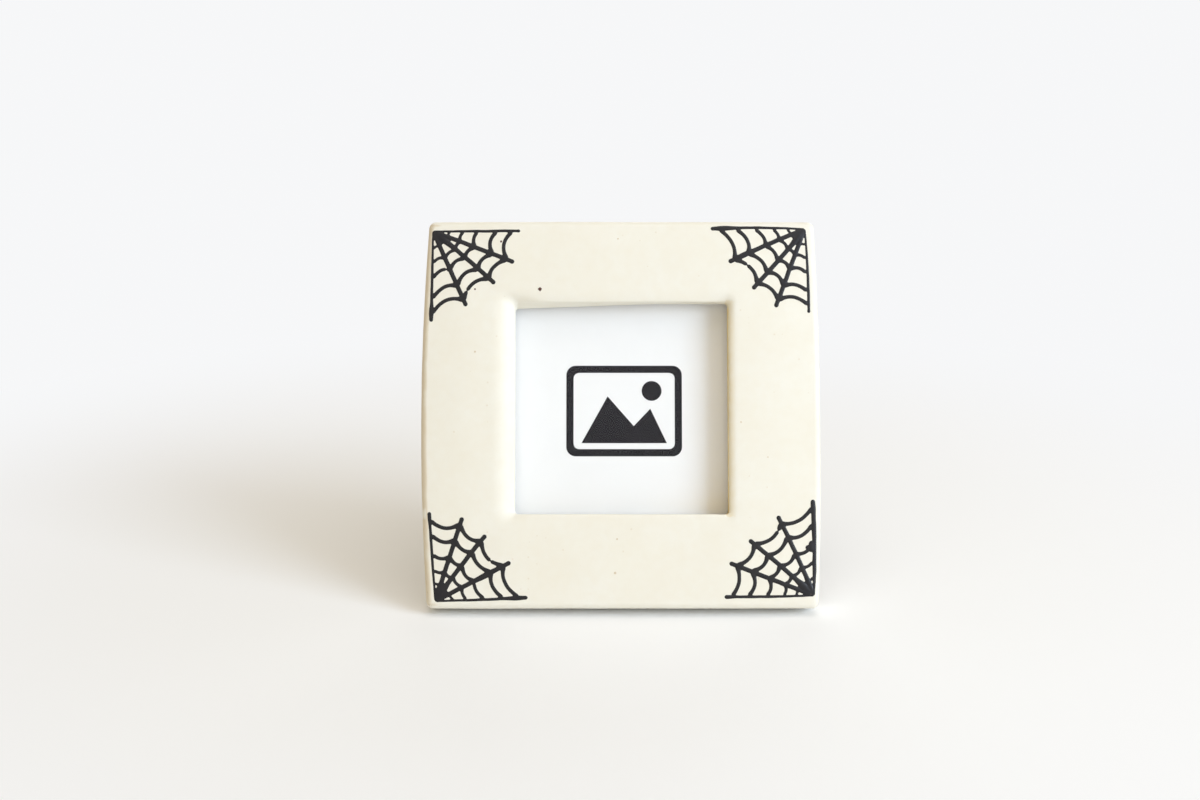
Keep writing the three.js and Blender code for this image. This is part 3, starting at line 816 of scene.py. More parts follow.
def aroundWindow(reach, depth, radius):
    half, rise = slab["windowHalf"], stance["windowRise"]
    left = -half - slab["flareLeft"] * reach + slab["windowDrift"]
    right = half + slab["moreRight"] + slab["flareRight"] * reach + slab["windowDrift"]
    bottom = rise - half - slab["flareBottom"] * reach
    top = rise + half + slab["moreTop"] + slab["flareTop"] * reach
    return slabLoop(left, right, bottom, top, radius, depth)


def bell(value, spread):
    return math.exp(-(value / spread) ** 2)


# The lip rounds off deeper beside the window than above and below it
def windowLip(turn):
    reach = 1 - math.cos(turn)
    loop = aroundWindow(reach, 0, slab["windowCorner"] + slab["flareCorner"] * reach)
    for point in loop:
        upwards = point.z - stance["windowRise"]
        run = slab["lipRun"] if point.x < 0 < upwards else 0.0
        above = (abs(upwards) - abs(point.x) - run) / slab["windowHalf"]
        level = min(max(above / slab["depthTurn"] + 0.5, 0.0), 1.0)
        level = level * level * (3 - 2 * level)
        beside = slab["depthLeft"] if point.x < 0 else slab["depthRight"]
        fromCorner = math.hypot(point.x - slab["windowHalf"], upwards - slab["windowHalf"])
        deep = beside + (slab["depthLevel"] - beside) * level
        deep = deep + slab["scoop"] * bell(fromCorner, slab["scoopReach"])
        point.y = deep * (1 - math.sin(turn))
    return loop


def alongOutline(inset, depth, share):
    reach = slab["half"] - inset
    radius = slab["outlineCorner"] + (slab["faceCorner"] - slab["outlineCorner"]) * share
    return slabLoop(-reach, reach, -reach, reach, radius, depth, swell=1.0)


def aroundRebate(grow, depth):
    half, rise = slab["rebateHalf"] + grow, stance["windowRise"]
    return slabLoop(-half, half, rise - half, rise + half, slab["rebateCorner"] + grow, depth)


def between(first, last, steps, crown=0.0):
    loops = []
    for step in range(1, steps):
        share = step / steps
        lift = Vector((0, -crown * math.sin(math.pi * share), 0))
        loops.append([one.lerp(other, share) + lift for one, other in zip(first, last)])
    return loops


def slabMesh():
    quarter = math.pi / 2
    flare = [windowLip(quarter * step / slab["lipSteps"]) for step in range(slab["lipSteps"] + 1)]
    frontEdge, backEdge = [], []
    for step in range(slab["roundSteps"] + 1):
        turn = quarter * step / slab["roundSteps"]
        over, under = 1 - math.sin(turn), 1 - math.cos(turn)
        frontEdge.append(alongOutline(slab["frontRound"] * over, slab["frontRound"] * under, over))
        depth = slab["depth"] - slab["backRound"] * over
        backEdge.append(alongOutline(slab["backRound"] * under, depth, under))
    ledge = aroundWindow(0, slab["ledge"], slab["windowCorner"])
    # the upper inner wall slopes inwards at its left
    for point in ledge:
        share = max(0.0, slab["topSlopeEnd"] - point.x) / (slab["topSlopeEnd"] + slab["windowHalf"])
        point.z -= slab["topSlope"] * share * max(0.0, point.z - stance["windowRise"]) / slab["windowHalf"]
    rim = aroundRebate(slab["rebateChamfer"], slab["depth"])
    wall = aroundRebate(0, slab["depth"] - slab["rebateChamfer"])
    shelf = aroundRebate(0, slab["ledge"])
    loops = [ledge, *between(ledge, flare[0], slab["wallSteps"]), *flare]
    loops += [*between(flare[-1], frontEdge[0], slab["faceSteps"], slab["crown"]), *frontEdge]
    loops += [*between(frontEdge[-1], backEdge[0], slab["outerSteps"]), *backEdge]
    loops += [*between(backEdge[-1], rim, slab["backSteps"]), rim, wall]
    loops += [*between(wall, shelf, slab["rebateSteps"]), shelf, *between(shelf, ledge, slab["ledgeSteps"])]
    count = len(ledge)
    faces = []
    for here in range(len(loops)):
        after = (here + 1) % len(loops)
        for point in range(count):
            beside = (point + 1) % count
            near, far = here * count, after * count
            faces.append((near + point, near + beside, far + beside, far + point))
    points = [point for loop in loops for point in loop]
    return mended(bareMesh("ceramic_slab", points, faces), making["mergeSlab"])


# Small unevenness of a slab finished by hand; the rebate keeps its room for the sheets
def handFinish(mesh):
    moves = []
    room = slab["rebateHalf"] + slab["rebateMargin"]
    for point in mesh.vertices:
        slow = noise.noise(point.co / slab["wobbleSize"]) * slab["wobble"]
        quick = noise.noise(point.co / slab["dimpleSize"] + Vector(slab["dimpleShift"])) * slab["dimple"]
        inside = max(abs(point.co.x), abs(point.co.z - stance["windowRise"])) < room
        inRebate = inside and point.co.y > slab["ledge"] - slab["rebateMargin"]
        moves.append(point.normal * (slow + quick) * (slab["rebateHold"] if inRebate else 1.0))
    for point, move in zip(mesh.vertices, moves):
        outwards = max(0.0, abs(point.co.x) - slab["fallFrom"]) / (slab["half"] - slab["fallFrom"])
        inDepth = max(0.0, 1 - point.co.y / slab["ledge"])
        point.co += move
        point.co.y += slab["fallBack"] * outwards * inDepth
    mesh.update()


plugs = {}
for side, sideSign in (("left", -1), ("right", 1)):
    for level, levelSign in (("upper", 1), ("lower", -1)):
        up = stance["windowRise"] + levelSign * slab["plugApart"] / 2
        plugs[side + "_" + level] = (sideSign * slab["plugAcross"], up)

slabForm = slabMesh()
handFinish(slabForm)
drills = []
for x, z in plugs.values():
    drills.append(drillBit(slab["plugHole"], slab["plugDepth"], slab["drillEnd"], x, z, slab["drillSides"]))
slabForm = joined(slabForm, drills, "DIFFERENCE")
slabForm.materials.clear()
print("slab modelled:", len(slabForm.polygons), "faces")


# Cobwebs, trailed on in lines of black glaze

# A corner gives its place on the face, the length of its threads and how far each turns from the level edge.
# Pools of slip go by thread, place along it, spread and height, and breaks by ring, sector and share of the
# way. Dabs go from one point to another, measured from the corner, and have a radius.
web = {
    "threadRadius": 0.86, "edgeRadius": 0.56, "edgeThin": 0.15, "edgeThinReach": 12.0,
    "cornerPinch": 0.5, "pinchReach": 2.2, "tipNeck": 0.06, "neckPlace": 1.5, "neckReach": 0.8,
    "tipBulb": 0.12, "bulbReach": 0.9, "tipGain": 0.5, "bend": 0.012,
    "ringShares": (0.2, 0.355, 0.535, 0.745, 0.93), "ringRadii": (0.46, 0.56, 0.65, 0.71, 0.71),
    "jointSwells": (0.1, 0.25, 0.36, 0.42, 0.42), "edgeSwell": 0.3, "jointReach": 1.9, "edgeInset": 0.3,
    "ringSag": 0.18, "sagLeast": 0.85, "sagMost": 1.15, "ringWander": 0.013, "breakLength": 0.1,
    "spacing": 0.45, "roughSteps": 24, "leastSteps": 6, "capLeast": 0.12,
    "relief": 0.26, "sink": 0.08, "voxel": 0.17, "seed": 11,
    "wander": 0.16, "wanderScale": 0.22, "wanderDetail": 2.0,
    "softness": 0.5, "softRounds": 4, "sharp": 60, "rayStart": -10.0, "rayLength": 30.0,
    "corners": {
        "top_left": {
            "place": (-68.0, 65.9), "sides": (1, -1),
            "lengths": (31.0, 31.0, 29.0, 29.4, 32.3), "turns": (0.0, 21.3, 40.5, 65.9, 90.9),
            "pools": [(2, 5.5, 3.4, 0.3), (4, 29.5, 3.0, 0.36)],
            "breaks": [(4, 2, 0.75), (2, 3, 0.2)], "dabs": [],
        },
        "top_right": {
            "place": (66.1, 66.7), "sides": (-1, -1),
            "lengths": (33.5, 29.7, 28.5, 29.9, 30.0), "turns": (0.0, 23.8, 49.0, 69.3, 92.3),
            "pools": [(0, 29.5, 4.0, 0.42), (1, 24.0, 3.0, 0.2), (2, 4.5, 2.6, 0.35)],
            "breaks": [(4, 1, 0.36)], "dabs": [],
        },
        "bottom_left": {
            "place": (-66.3, -66.8), "sides": (1, 1),
            "lengths": (32.4, 29.6, 29.0, 30.7, 31.2), "turns": (2.3, 27.3, 52.7, 72.3, 94.4),
            "pools": [(0, 29.0, 3.5, 0.34), (1, 20.0, 3.0, 0.24), (2, 4.4, 2.3, 0.5), (3, 4.0, 2.2, 0.3),
                      (4, 30.0, 2.0, 0.2)],
            "breaks": [(4, 1, 0.36), (2, 0, 0.9)], "dabs": [],
        },
        "bottom_right": {
            "place": (68.3, -64.8), "sides": (-1, 1),
            "lengths": (31.4, 31.7, 29.8, 30.5, 33.5), "turns": (-0.8, 21.1, 40.6, 65.7, 89.8),
            "pools": [(2, 4.8, 2.6, 0.55), (3, 4.2, 2.2, 0.2), (4, 10.0, 6.0, 0.3), (4, 24.0, 7.0, 0.36),
                      (4, 32.0, 3.0, 0.3), (0, 30.5, 1.6, 0.2)],
            "breaks": [(4, 2, 0.8)],
            "dabs": [((0.8, 15.4), (0.7, 19.4), 1.05), ((1.2, 16.6), (2.8, 17.4), 1.0)],
        },
    },
}


# One line of slip: its radius by the way from its start and to its end, and round at both ends
def addStroke(drawing, path, radiusAt):
    rough = [path(step / web["roughSteps"]) for step in range(web["roughSteps"] + 1)]
    length = sum((after - before).length for before, after in zip(rough, rough[1:]))
    steps = max(web["leastSteps"], round(length / web["spacing"]))
    first = len(drawing["points"])
    for step in range(steps + 1):
        share = step / steps
        place = path(share)
        fromStart, toEnd = share * length, (1 - share) * length
        radius = radiusAt(fromStart, toEnd)
        inCap = max(0.0, 1 - min(fromStart, toEnd) / radius)
        drawing["points"].append((place.x, 0, place.y))
        drawing["radii"].append(radius * math.sqrt(max(web["capLeast"], 1 - inCap ** 2)))
    drawing["edges"] += [(first + step, first + step + 1) for step in range(steps)]


def addThread(drawing, start, arm, bend, onEdge, pools):
    def radiusAt(fromStart, toEnd):
        if onEdge:
            radius = web["edgeRadius"] - web["edgeThin"] * bell(fromStart, web["edgeThinReach"])
        else:
            radius = web["threadRadius"] - web["cornerPinch"] * bell(fromStart, web["pinchReach"])
        radius *= 1 - web["tipNeck"] * bell(toEnd - web["neckPlace"], web["neckReach"])
        radius += web["tipBulb"] * bell(toEnd, web["bulbReach"])
        return radius + sum(height * bell(fromStart - along, spread) for along, spread, height in pools)

    addStroke(drawing, lambda t: start + arm * t + bend * (4 * t * (1 - t)), radiusAt)


# A scallop between two threads, hanging towards the corner; a break leaves a fine gap in it
def addScallop(drawing, one, low, other, gapAt, thick, swells):
    def arc(t):
        return one * (1 - t) ** 2 + low * (2 * t * (1 - t)) + other * t * t

    pieces = [(0.0, 1.0)]
    if gapAt is not None:
        halfGap = web["breakLength"] / (other - one).length / 2
        pieces = [(0.0, gapAt - halfGap), (gapAt + halfGap, 1.0)]
    for begin, end in pieces:
        def radiusAt(fromStart, toEnd, begin=begin, end=end):
            atStart = swells[0] * bell(fromStart, web["jointReach"]) if begin == 0 else 0
            atEnd = swells[1] * bell(toEnd, web["jointReach"]) if end == 1 else 0
            return thick * (1 + atStart + atEnd)

        addStroke(drawing, lambda t, begin=begin, end=end: arc(begin + (end - begin) * t), radiusAt)


def webDrawing(corner, draw):
    drawing = {"points": [], "edges": [], "radii": []}
    start = Vector(corner["place"])
    acrossSign, upSign = corner["sides"]
    arms = []
    for length, turn in zip(corner["lengths"], corner["turns"]):
        angle = math.radians(turn)
        arms.append(Vector((acrossSign * math.cos(angle), upSign * math.sin(angle))) * length)
    for number, arm in enumerate(arms):
        bend = Vector((-arm.y, arm.x)) * draw.uniform(-web["bend"], web["bend"])
        pools = [pool[1:] for pool in corner["pools"] if pool[0] == number]
        full = arm * (1 + web["tipGain"] / arm.length)
        addThread(drawing, start, full, bend, number in (0, len(arms) - 1), pools)
    for first, last, radius in corner["dabs"]:
        ends = [start + Vector((acrossSign * x, upSign * z)) for x, z in (first, last)]

        def straight(t, ends=ends):
            return ends[0].lerp(ends[1], t)

        addStroke(drawing, straight, lambda before, after, radius=radius: radius)
    for ring, share in enumerate(web["ringShares"]):
        knots = [start + arm * (share + draw.uniform(-1, 1) * web["ringWander"]) for arm in arms]
        # rings end just inside the edge threads
        knots[0] += (knots[1] - knots[0]).normalized() * web["edgeInset"]
        knots[-1] += (knots[-2] - knots[-1]).normalized() * web["edgeInset"]
        swells = [web["jointSwells"][ring]] * len(knots)
        swells[0] = swells[-1] = swells[0] * web["edgeSwell"]
        for sector, (one, other) in enumerate(zip(knots, knots[1:])):
            middle = (one + other) / 2
            sag = web["ringSag"] * draw.uniform(web["sagLeast"], web["sagMost"])
            low = middle + (start - middle).normalized() * (2 * sag * (other - one).length)
            gaps = [at for where, beside, at in corner["breaks"] if (where, beside) == (ring, sector)]
            gapAt = gaps[0] if gaps else None
            addScallop(drawing, one, low, other, gapAt, web["ringRadii"][ring], swells[sector:sector + 2])
    return drawing


def nodeTree(name, inputs):
    tree = bpy.data.node_groups.new(name, "GeometryNodeTree")
    tree.interface.new_socket("Geometry", in_out="INPUT", socket_type="NodeSocketGeometry")
    for label, (kind, start) in {**inputs, "Finish": ("Material", None)}.items():
        socket = tree.interface.new_socket(label, in_out="INPUT", socket_type="NodeSocket" + kind)
        if start is not None:
            socket.default_value = start
    tree.interface.new_socket("Geometry", in_out="OUTPUT", socket_type="NodeSocketGeometry")
    return tree, tree.nodes.new("NodeGroupInput").outputs, tree.nodes.new("NodeGroupOutput").inputs


def endTree(tree, geometry, finish, made):
    real = put(tree, "GeometryNodeRealizeInstances", {"Geometry": geometry}).outputs[0]
    dressed = put(tree, "GeometryNodeSetMaterial", {"Geometry": real, "Material": finish}).outputs[0]
    tree.links.new(dressed, made["Geometry"])
    return tree


def addNodes(item, name, tree, values):
    modifier = item.modifiers.new(name, "NODES")
    modifier.node_group = tree
    for row in tree.interface.items_tree:
        if row.item_type == "SOCKET" and row.in_out == "INPUT" and row.name in values:
            modifier[row.identifier] = values[row.name]


# Turns drawn lines into round beads of slip that wander a little
def makeSlipLines():
    inputs = {"Wander": ("Float", 0.1), "Wander Scale": ("Float", 0.2), "Bead Sides": ("Int", 10)}
    tree, given, made = nodeTree("slipLines", inputs)
    values = {"Name": "slipRadius"}
    radius = put(tree, "GeometryNodeInputNamedAttribute", values, data_type="FLOAT").outputs[0]
    place = put(tree, "GeometryNodeInputPosition").outputs[0]
    values = {"Vector": place, "Scale": given["Wander Scale"], "Detail": web["wanderDetail"]}
    swirl = put(tree, "ShaderNodeTexNoise", values).outputs["Color"]
    flat = vectors(tree, "MULTIPLY", vectors(tree, "SUBTRACT", swirl, (0.5, 0.5, 0.5)), (2.0, 0.0, 2.0))
    values = {0: flat, "Scale": given["Wander"]}
    shift = put(tree, "ShaderNodeVectorMath", values, operation="SCALE").outputs[0]
    values = {"Geometry": given["Geometry"], "Offset": shift}
    moved = put(tree, "GeometryNodeSetPosition", values).outputs[0]
    lines = put(tree, "GeometryNodeMeshToCurve", {"Mesh": moved}).outputs[0]
    values = {"Resolution": given["Bead Sides"], "Radius": 1.0}
    bead = put(tree, "GeometryNodeCurvePrimitiveCircle", values).outputs[0]
    values = {"Curve": lines, "Profile Curve": bead, "Scale": radius, "Fill Caps": True}
    beads = put(tree, "GeometryNodeCurveToMesh", values).outputs[0]
    return endTree(tree, beads, given["Finish"], made)


# Lays the joined beads on the slab: flattened, following its face, and let in a little
def makeLayOnSlab():
    inputs = {"Slab": ("Object", None), "Relief": ("Float", 0.3), "Sink": ("Float", 0.05)}
    tree, given, made = nodeTree("layOnSlab", inputs)
    face = put(tree, "GeometryNodeObjectInfo", {"Object": given["Slab"]}).outputs["Geometry"]
    place = put(tree, "GeometryNodeInputPosition").outputs[0]
    axes = put(tree, "ShaderNodeSeparateXYZ", {"Vector": place}).outputs
    values = {"X": axes["X"], "Y": web["rayStart"], "Z": axes["Z"]}
    ray = {
        "Target Geometry": face, "Source Position": put(tree, "ShaderNodeCombineXYZ", values).outputs[0],
        "Ray Direction": (0.0, 1.0, 0.0), "Ray Length": web["rayLength"],
    }
    hit = put(tree, "GeometryNodeRaycast", ray).outputs["Hit Position"]
    ground = put(tree, "ShaderNodeSeparateXYZ", {"Vector": hit}).outputs["Y"]
    pressed = times(tree, axes["Y"], given["Relief"])
    level = sums(tree, "ADD", ground, sums(tree, "MINIMUM", pressed, given["Sink"]))
    values = {"X": axes["X"], "Y": level, "Z": axes["Z"]}
    landed = put(tree, "ShaderNodeCombineXYZ", values).outputs[0]
    values = {"Geometry": given["Geometry"], "Position": landed}
    laid = put(tree, "GeometryNodeSetPosition", values).outputs[0]
    return endTree(tree, laid, given["Finish"], made)


slipLines = makeSlipLines()
layOnSlab = makeLayOnSlab()
slabStand = trial(slabForm)
slipDraw = random.Random(web["seed"])
for name, corner in web["corners"].items():
    drawing = webDrawing(corner, slipDraw)
    lines = bareMesh("cobweb_lines_" + name, drawing["points"], [], drawing["edges"])
    lines.attributes.new("slipRadius", "FLOAT", "POINT").data.foreach_set("value", drawing["radii"])
    item = trial(lines)
    finish = finishes["black_glaze"]
    values = {"Wander": web["wander"], "Wander Scale": web["wanderScale"], "Finish": finish}
    addNodes(item, "beads", slipLines, values)
    fuse = item.modifiers.new("fuse", "REMESH")
    fuse.mode = "VOXEL"
    fuse.voxel_size = web["voxel"]
    soften = item.modifiers.new("soften", "SMOOTH")
    soften.factor = web["softness"]
    soften.iterations = web["softRounds"]
    values = {"Slab": slabStand, "Relief": web["relief"], "Sink": web["sink"], "Finish": finish}
    addNodes(item, "lay", layOnSlab, values)
    mesh = smoothed(evaluated(item, "cobweb_slip_" + name), web["sharp"])
    addPiece(mesh, standing, "frame", "black_glaze", "cobweb_" + name)
    print("cobweb", name, len(mesh.polygons), "faces")
bpy.data.objects.remove(slabStand)


# Glaze that ran thin, faintly on every rounded edge; along the left outer edge it is at full strength, a
# darker tan that is painted shade of the side facing away from the key lamp. Below zero it turned amber, on
# the inner walls at the right and lower right of the window and fading out over the right lip
def thinGlazeAndLeftShade(bend, place):
    upwards = place.z - stance["windowRise"]
    fromWindow = place.x - slab["windowHalf"] - slab["moreRight"] - slab["windowDrift"]
    inFront = place.y < slab["ledge"] + slab["pastLedge"]
    beside = abs(upwards) < slab["windowHalf"] + slab["clearEnds"] and inFront
    if beside and -slab["clearEnds"] < fromWindow < slab["amberReach"]:
        onWall = place.y > slab["depthRight"] + slab["underLip"]
        if onWall and upwards < slab["windowHalf"] - slab["clearEnds"]:
            return -1.0
        return slab["amberLip"] * (max(fromWindow, 0) / slab["amberReach"] - 1)
    onSill = abs(upwards + slab["windowHalf"]) < slab["nearSill"] and fromWindow < 0
    if onSill and inFront and place.y > slab["depthLevel"] + slab["underLip"]:
        along = (place.x - slab["pooledFrom"]) / (slab["pooledTo"] - slab["pooledFrom"])
        return -min(max(along, 0.0), 1.0)
    # the left outer edge takes the thin tone at full strength: painted shade of the side away from the key
    # lamp
    inLeftShade = place.x < slab["leftShadeBand"] - slab["half"] and abs(place.z) < slab["half"] - slab["clearEnds"]
    return bend * (1.0 if inLeftShade else slab["thinElsewhere"])


markEdges(slabForm, slab["wearReach"], slab["wearRounds"], thinGlazeAndLeftShade)
addPiece(smoothed(slabForm, slab["sharp"]), standing, "frame", "ivory_glaze", "ceramic_frame")
for point in slabForm.vertices:
    point.co.z = max(point.co.z, 0.0)  # ground flat where it stands
print("slab placed")


# Picture on the print, a plain landscape sign

# Its peaks, dip and sun are placed from the nearer side, and from the ground or the top
picture = {
    "middle": (1.0, 1.5), "width": 42.0, "height": 33.0, "line": 2.6, "corner": 3.4,
    "front": 9.94, "back": 9.99, "edge": 0.01, "ground": 2.2, "hillInset": 5.5,
    "leftPeak": (15.0, 17.0), "dip": (17.5, 6.2),
    "rightPeak": (11.5, 12.5), "sun": 3.6, "sunPlace": (11.0, 9.2), "sunSides": 48,
}


def pictureMesh():
    middleX, middleZ = picture["middle"]
    left, right = middleX - picture["width"] / 2, middleX + picture["width"] / 2
    bottom, top = middleZ - picture["height"] / 2, middleZ + picture["height"] / 2
    line, inset = picture["line"], picture["hillInset"]
    outer = roundedBox(left, right, bottom, top, picture["corner"])
    inner = roundedBox(left + line, right - line, bottom + line, top - line, picture["corner"] - line / 2)
    ground = bottom + line + picture["ground"]
    hills = [(left + inset, ground), (right - inset, ground)]
    hills += [(right - back, ground + rise) for back, rise in (picture["rightPeak"], picture["dip"])]
    hills.append((left + picture["leftPeak"][0], ground + picture["leftPeak"][1]))
    fromRight, fromTop = picture["sunPlace"]
    sun = circle(right - fromRight, top - fromTop, picture["sun"], picture["sunSides"])
    outlines = [outer, inner[::-1], hills, sun]
    return stamped("print_picture", outlines, picture["front"], picture["back"], picture["edge"])


pictureSheet = pictureMesh()
pictureSheet.materials.append(inkFinish)
addPiece(pictureSheet, standing, "frame", "white_paper")
print("print picture drawn")


# Backing board and leg, black grained paper over pressed board

sheetBoard = {
    "half": 42.5, "corner": 1.5, "front": 12.4, "back": 15.0, "edge": 0.22, "rim": 0.7, "edgeTurn": 0.55,
    "rivetAcross": (-6.5, 6.5), "rivetOffset": 9.5, "hole": 1.3, "holeSides": 28,
    "pocket": 2.2, "pocketDepth": 0.65, "wearReach": 0.2, "sharp": 40,
}
legSheet = {
    "front": -1.925, "back": 0.875, "top": -2.525, "halfTop": 12.5, "halfFoot": 19.0, "corner": 2.0,
    "reach": 86.0, "footRun": 84.9,
}


def circleHole(x, z, radius):
    return circle(x, z, radius, sheetBoard["holeSides"])[::-1]


def rivetHoles(z, radius):
    return [circleHole(x, z, radius) for x in sheetBoard["rivetAcross"]]


# The face takes the covering paper, and the cut sides show the board
def paperAndEdge(mesh):
    mesh.materials.clear()
    mesh.materials.append(finishes["black_board"])
    mesh.materials.append(edgeFinish)
    for face in mesh.polygons:
        face.material_index = 0 if abs(face.normal.y) > sheetBoard["edgeTurn"] else 1


# A sheet with holes for two rivets, and pockets in its front for their tails
def rivetedSheet(name, outline, front, back, z):
    outlines = [outline, *rivetHoles(z, sheetBoard["hole"])]
    sheet = withRim(stamped(name, outlines, front, back, sheetBoard["edge"]), sheetBoard["rim"])
    start, end = front - making["cutOver"], front + sheetBoard["pocketDepth"]
    cutters = []
    for x in sheetBoard["rivetAcross"]:
        cutters.append(drillBit(sheetBoard["pocket"], start, end, x, z, sheetBoard["holeSides"]))
    return mended(joined(sheet, cutters, "DIFFERENCE"), making["mergeCut"])


def boardMesh():
    half, rise = sheetBoard["half"], stance["windowRise"]
    outline = roundedBox(-half, half, rise - half, rise + half, sheetBoard["corner"])
    z = stance["pinRise"] + sheetBoard["rivetOffset"]
    return rivetedSheet("backing_sheet", outline, sheetBoard["front"], sheetBoard["back"], z)


def legMesh():
    top, foot, corner = legSheet["top"], -legSheet["reach"], legSheet["corner"]
    slope = (legSheet["halfFoot"] - legSheet["halfTop"]) / legSheet["footRun"]
    wide = legSheet["halfTop"] + slope * (top - foot)
    outline = [(-wide, foot), (wide, foot)]
    outline += arcPoints(legSheet["halfTop"] - corner, top - corner, corner, 0, 90)
    outline += arcPoints(-legSheet["halfTop"] + corner, top - corner, corner, 90, 180)
    return rivetedSheet("leg_board", outline, legSheet["front"], legSheet["back"], -sheetBoard["rivetOffset"])


# The leg's foot is cut level where it meets the table
def cutAtTable(mesh, place):
    work = bmesh.new()
    work.from_mesh(mesh)
    level = place.inverted() @ Vector((0, 0, 0))
    up = (place.inverted().to_3x3() @ Vector((0, 0, 1))).normalized()
    everything = [*work.verts, *work.edges, *work.faces]
    cut = bmesh.ops.bisect_plane(work, geom=everything, plane_co=level, plane_no=up, clear_inner=True)
    rim = [part for part in cut["geom_cut"] if isinstance(part, bmesh.types.BMEdge)]
    bmesh.ops.contextual_create(work, geom=rim)
    above = level + up * sheetBoard["rim"]
    everything = [*work.verts, *work.edges, *work.faces]
    bmesh.ops.bisect_plane(work, geom=everything, plane_co=above, plane_no=up)
    reread(work, mesh)


boardSheet, legBoard = boardMesh(), legMesh()
cutAtTable(legBoard, onLeg)
for mesh, place, body, node in (
    (boardSheet, standing, "frame", "backing_board"),
    (legBoard, onLeg, "leg", "easel_leg"),
):
    markEdges(mesh, sheetBoard["wearReach"], 0)
    paperAndEdge(mesh)
    addPiece(smoothed(mesh, sheetBoard["sharp"]), place, body, "black_board", node)
print("board and leg cut")


# Hinge

hinge = {
    "half": 11.0, "middle": 4.0, "gap": 0.4, "length": 15.0, "corner": 1.5, "notch": 2.325, "edge": 0.16,
    "barrel": 1.925, "barrelSides": 48, "bore": 1.02, "boreOver": 3.0, "boreSides": 40, "softShare": 0.3,
    "fixedFront": -2.325, "fixedBack": -1.525, "movingFront": 1.125, "movingBack": 1.9,
    "tongueFront": -1.275, "tongueBack": -0.475, "tongueLength": 6.5, "rivetHole": 1.3, "rim": 0.3,
    "seam": 0.16, "seamStart": 0.72, "fixedSeam": 28.0, "movingSeam": 205.0,
    "pin": 0.9, "pinHead": 1.4, "pinSoft": 0.1, "pinHeadDepth": 0.7, "pinSeat": 11.25, "pinSides": 40,
    # the pin head's crown, by share of its depth and of its radius
    "pinCrown": ((0.55, 1.0), (0.85, 0.72), (1.0, 0.0)),
    "leafWear": 0.12, "pinWear": 0.2, "sharp": 38,
}


def knuckle(left, right):
    full, soft = hinge["barrel"], hinge["edge"]
    eased = soft * hinge["softShare"]
    profile = [(left, 0), (left, full - soft), (left + eased, full - eased), (left + soft, full)]
    profile += [(right - soft, full), (right - eased, full - eased), (right, full - soft), (right, 0)]
    return crossBar("knuckle", profile, hinge["barrelSides"])


# The line where the rolled sheet ends
def rollSeam(left, right, turn):
    over, half = making["cutOver"], hinge["seam"] / 2
    low = (left - over, -half, hinge["seamStart"])
    slit = blockMesh("seam", low, (right + over, half, hinge["barrel"] + over))
    slit.transform(Matrix.Rotation(math.radians(turn), 4, "X"))
    return slit


# The stamped leaf is joined to its rolled knuckles, and the pin's bore and the seam are cut
def rolledLeaf(leaf, extras, seam):
    reach, bore = hinge["half"] + hinge["boreOver"], hinge["bore"]
    boreTool = crossBar("bore", [(-reach, 0), (-reach, bore), (reach, bore), (reach, 0)], hinge["boreSides"])
    leaf = joined(withRim(leaf, hinge["rim"]), extras, "UNION")
    leaf = joined(leaf, [boreTool, seam], "DIFFERENCE")
    leaf.materials.clear()
    return mended(leaf, making["mergeCut"])


def fixedLeafMesh():
    half, inner, corner = hinge["half"], hinge["middle"] + hinge["gap"], hinge["corner"]
    top = hinge["length"] - corner
    outline = [(inner, 0), (half, 0)] + arcPoints(half - corner, top, corner, 0, 90)
    outline += arcPoints(-half + corner, top, corner, 90, 180)
    outline += [(-half, 0), (-inner, 0), (-inner, hinge["notch"]), (inner, hinge["notch"])]
    outlines = [outline, *rivetHoles(sheetBoard["rivetOffset"], hinge["rivetHole"])]
    leaf = stamped("hinge_leaf_fixed", outlines, hinge["fixedFront"], hinge["fixedBack"], hinge["edge"])
    knuckles = [knuckle(-half, -inner), knuckle(inner, half)]
    return rolledLeaf(leaf, knuckles, rollSeam(-half, half, hinge["fixedSeam"]))


def movingLeafMesh():
    half, inner, corner, notch = hinge["half"], hinge["middle"], hinge["corner"], -hinge["notch"]
    low = -hinge["length"] + corner
    outline = [(-inner, 0), (-inner, notch), (-half, notch)]
    outline += arcPoints(-half + corner, low, corner, 180, 270)
    outline += arcPoints(half - corner, low, corner, 270, 360)
    outline += [(half, notch), (inner, notch), (inner, 0)]
    outlines = [outline, *rivetHoles(-sheetBoard["rivetOffset"], hinge["rivetHole"])]
    leaf = stamped("hinge_leaf_moving", outlines, hinge["movingFront"], hinge["movingBack"], hinge["edge"])
    tongueOutline = roundedBox(-inner, inner, 0, hinge["tongueLength"], corner)
    tongue = stamped("tongue", [tongueOutline], hinge["tongueFront"], hinge["tongueBack"], hinge["edge"])
    tongue.transform(Matrix.Rotation(-legOpening, 4, "X"))
    return rolledLeaf(leaf, [knuckle(-inner, inner), tongue], rollSeam(-inner, inner, hinge["movingSeam"]))


def pinMesh():
    seat, head, soft = hinge["pinSeat"], hinge["pinHead"], hinge["pinSoft"]
    right = [(seat, hinge["pin"]), (seat, head - soft), (seat + soft, head)]
    right += [(seat + hinge["pinHeadDepth"] * deep, head * wide) for deep, wide in hinge["pinCrown"]]
    left = [(-along, radius) for along, radius in right[::-1]]
    return crossBar("hinge_pin_turned", left + right, hinge["pinSides"])


for mesh, place, body, node, slot, wear, rounds in (
    (fixedLeafMesh(), onPin, "frame", "hinge_fixed_leaf", "nickel_steel", hinge["leafWear"], 0),
    (movingLeafMesh(), onLeg, "leg", "hinge_moving_leaf", "nickel_steel", hinge["leafWear"], 0),
    (pinMesh(), onPin, "frame", "hinge_pin", "zinc_steel", hinge["pinWear"], 1),
):
    markEdges(mesh, wear, rounds)
    addPiece(smoothed(mesh, hinge["sharp"]), place, body, slot, node)
print("hinge rolled")


# Rivets and screws, set on their points by one tree

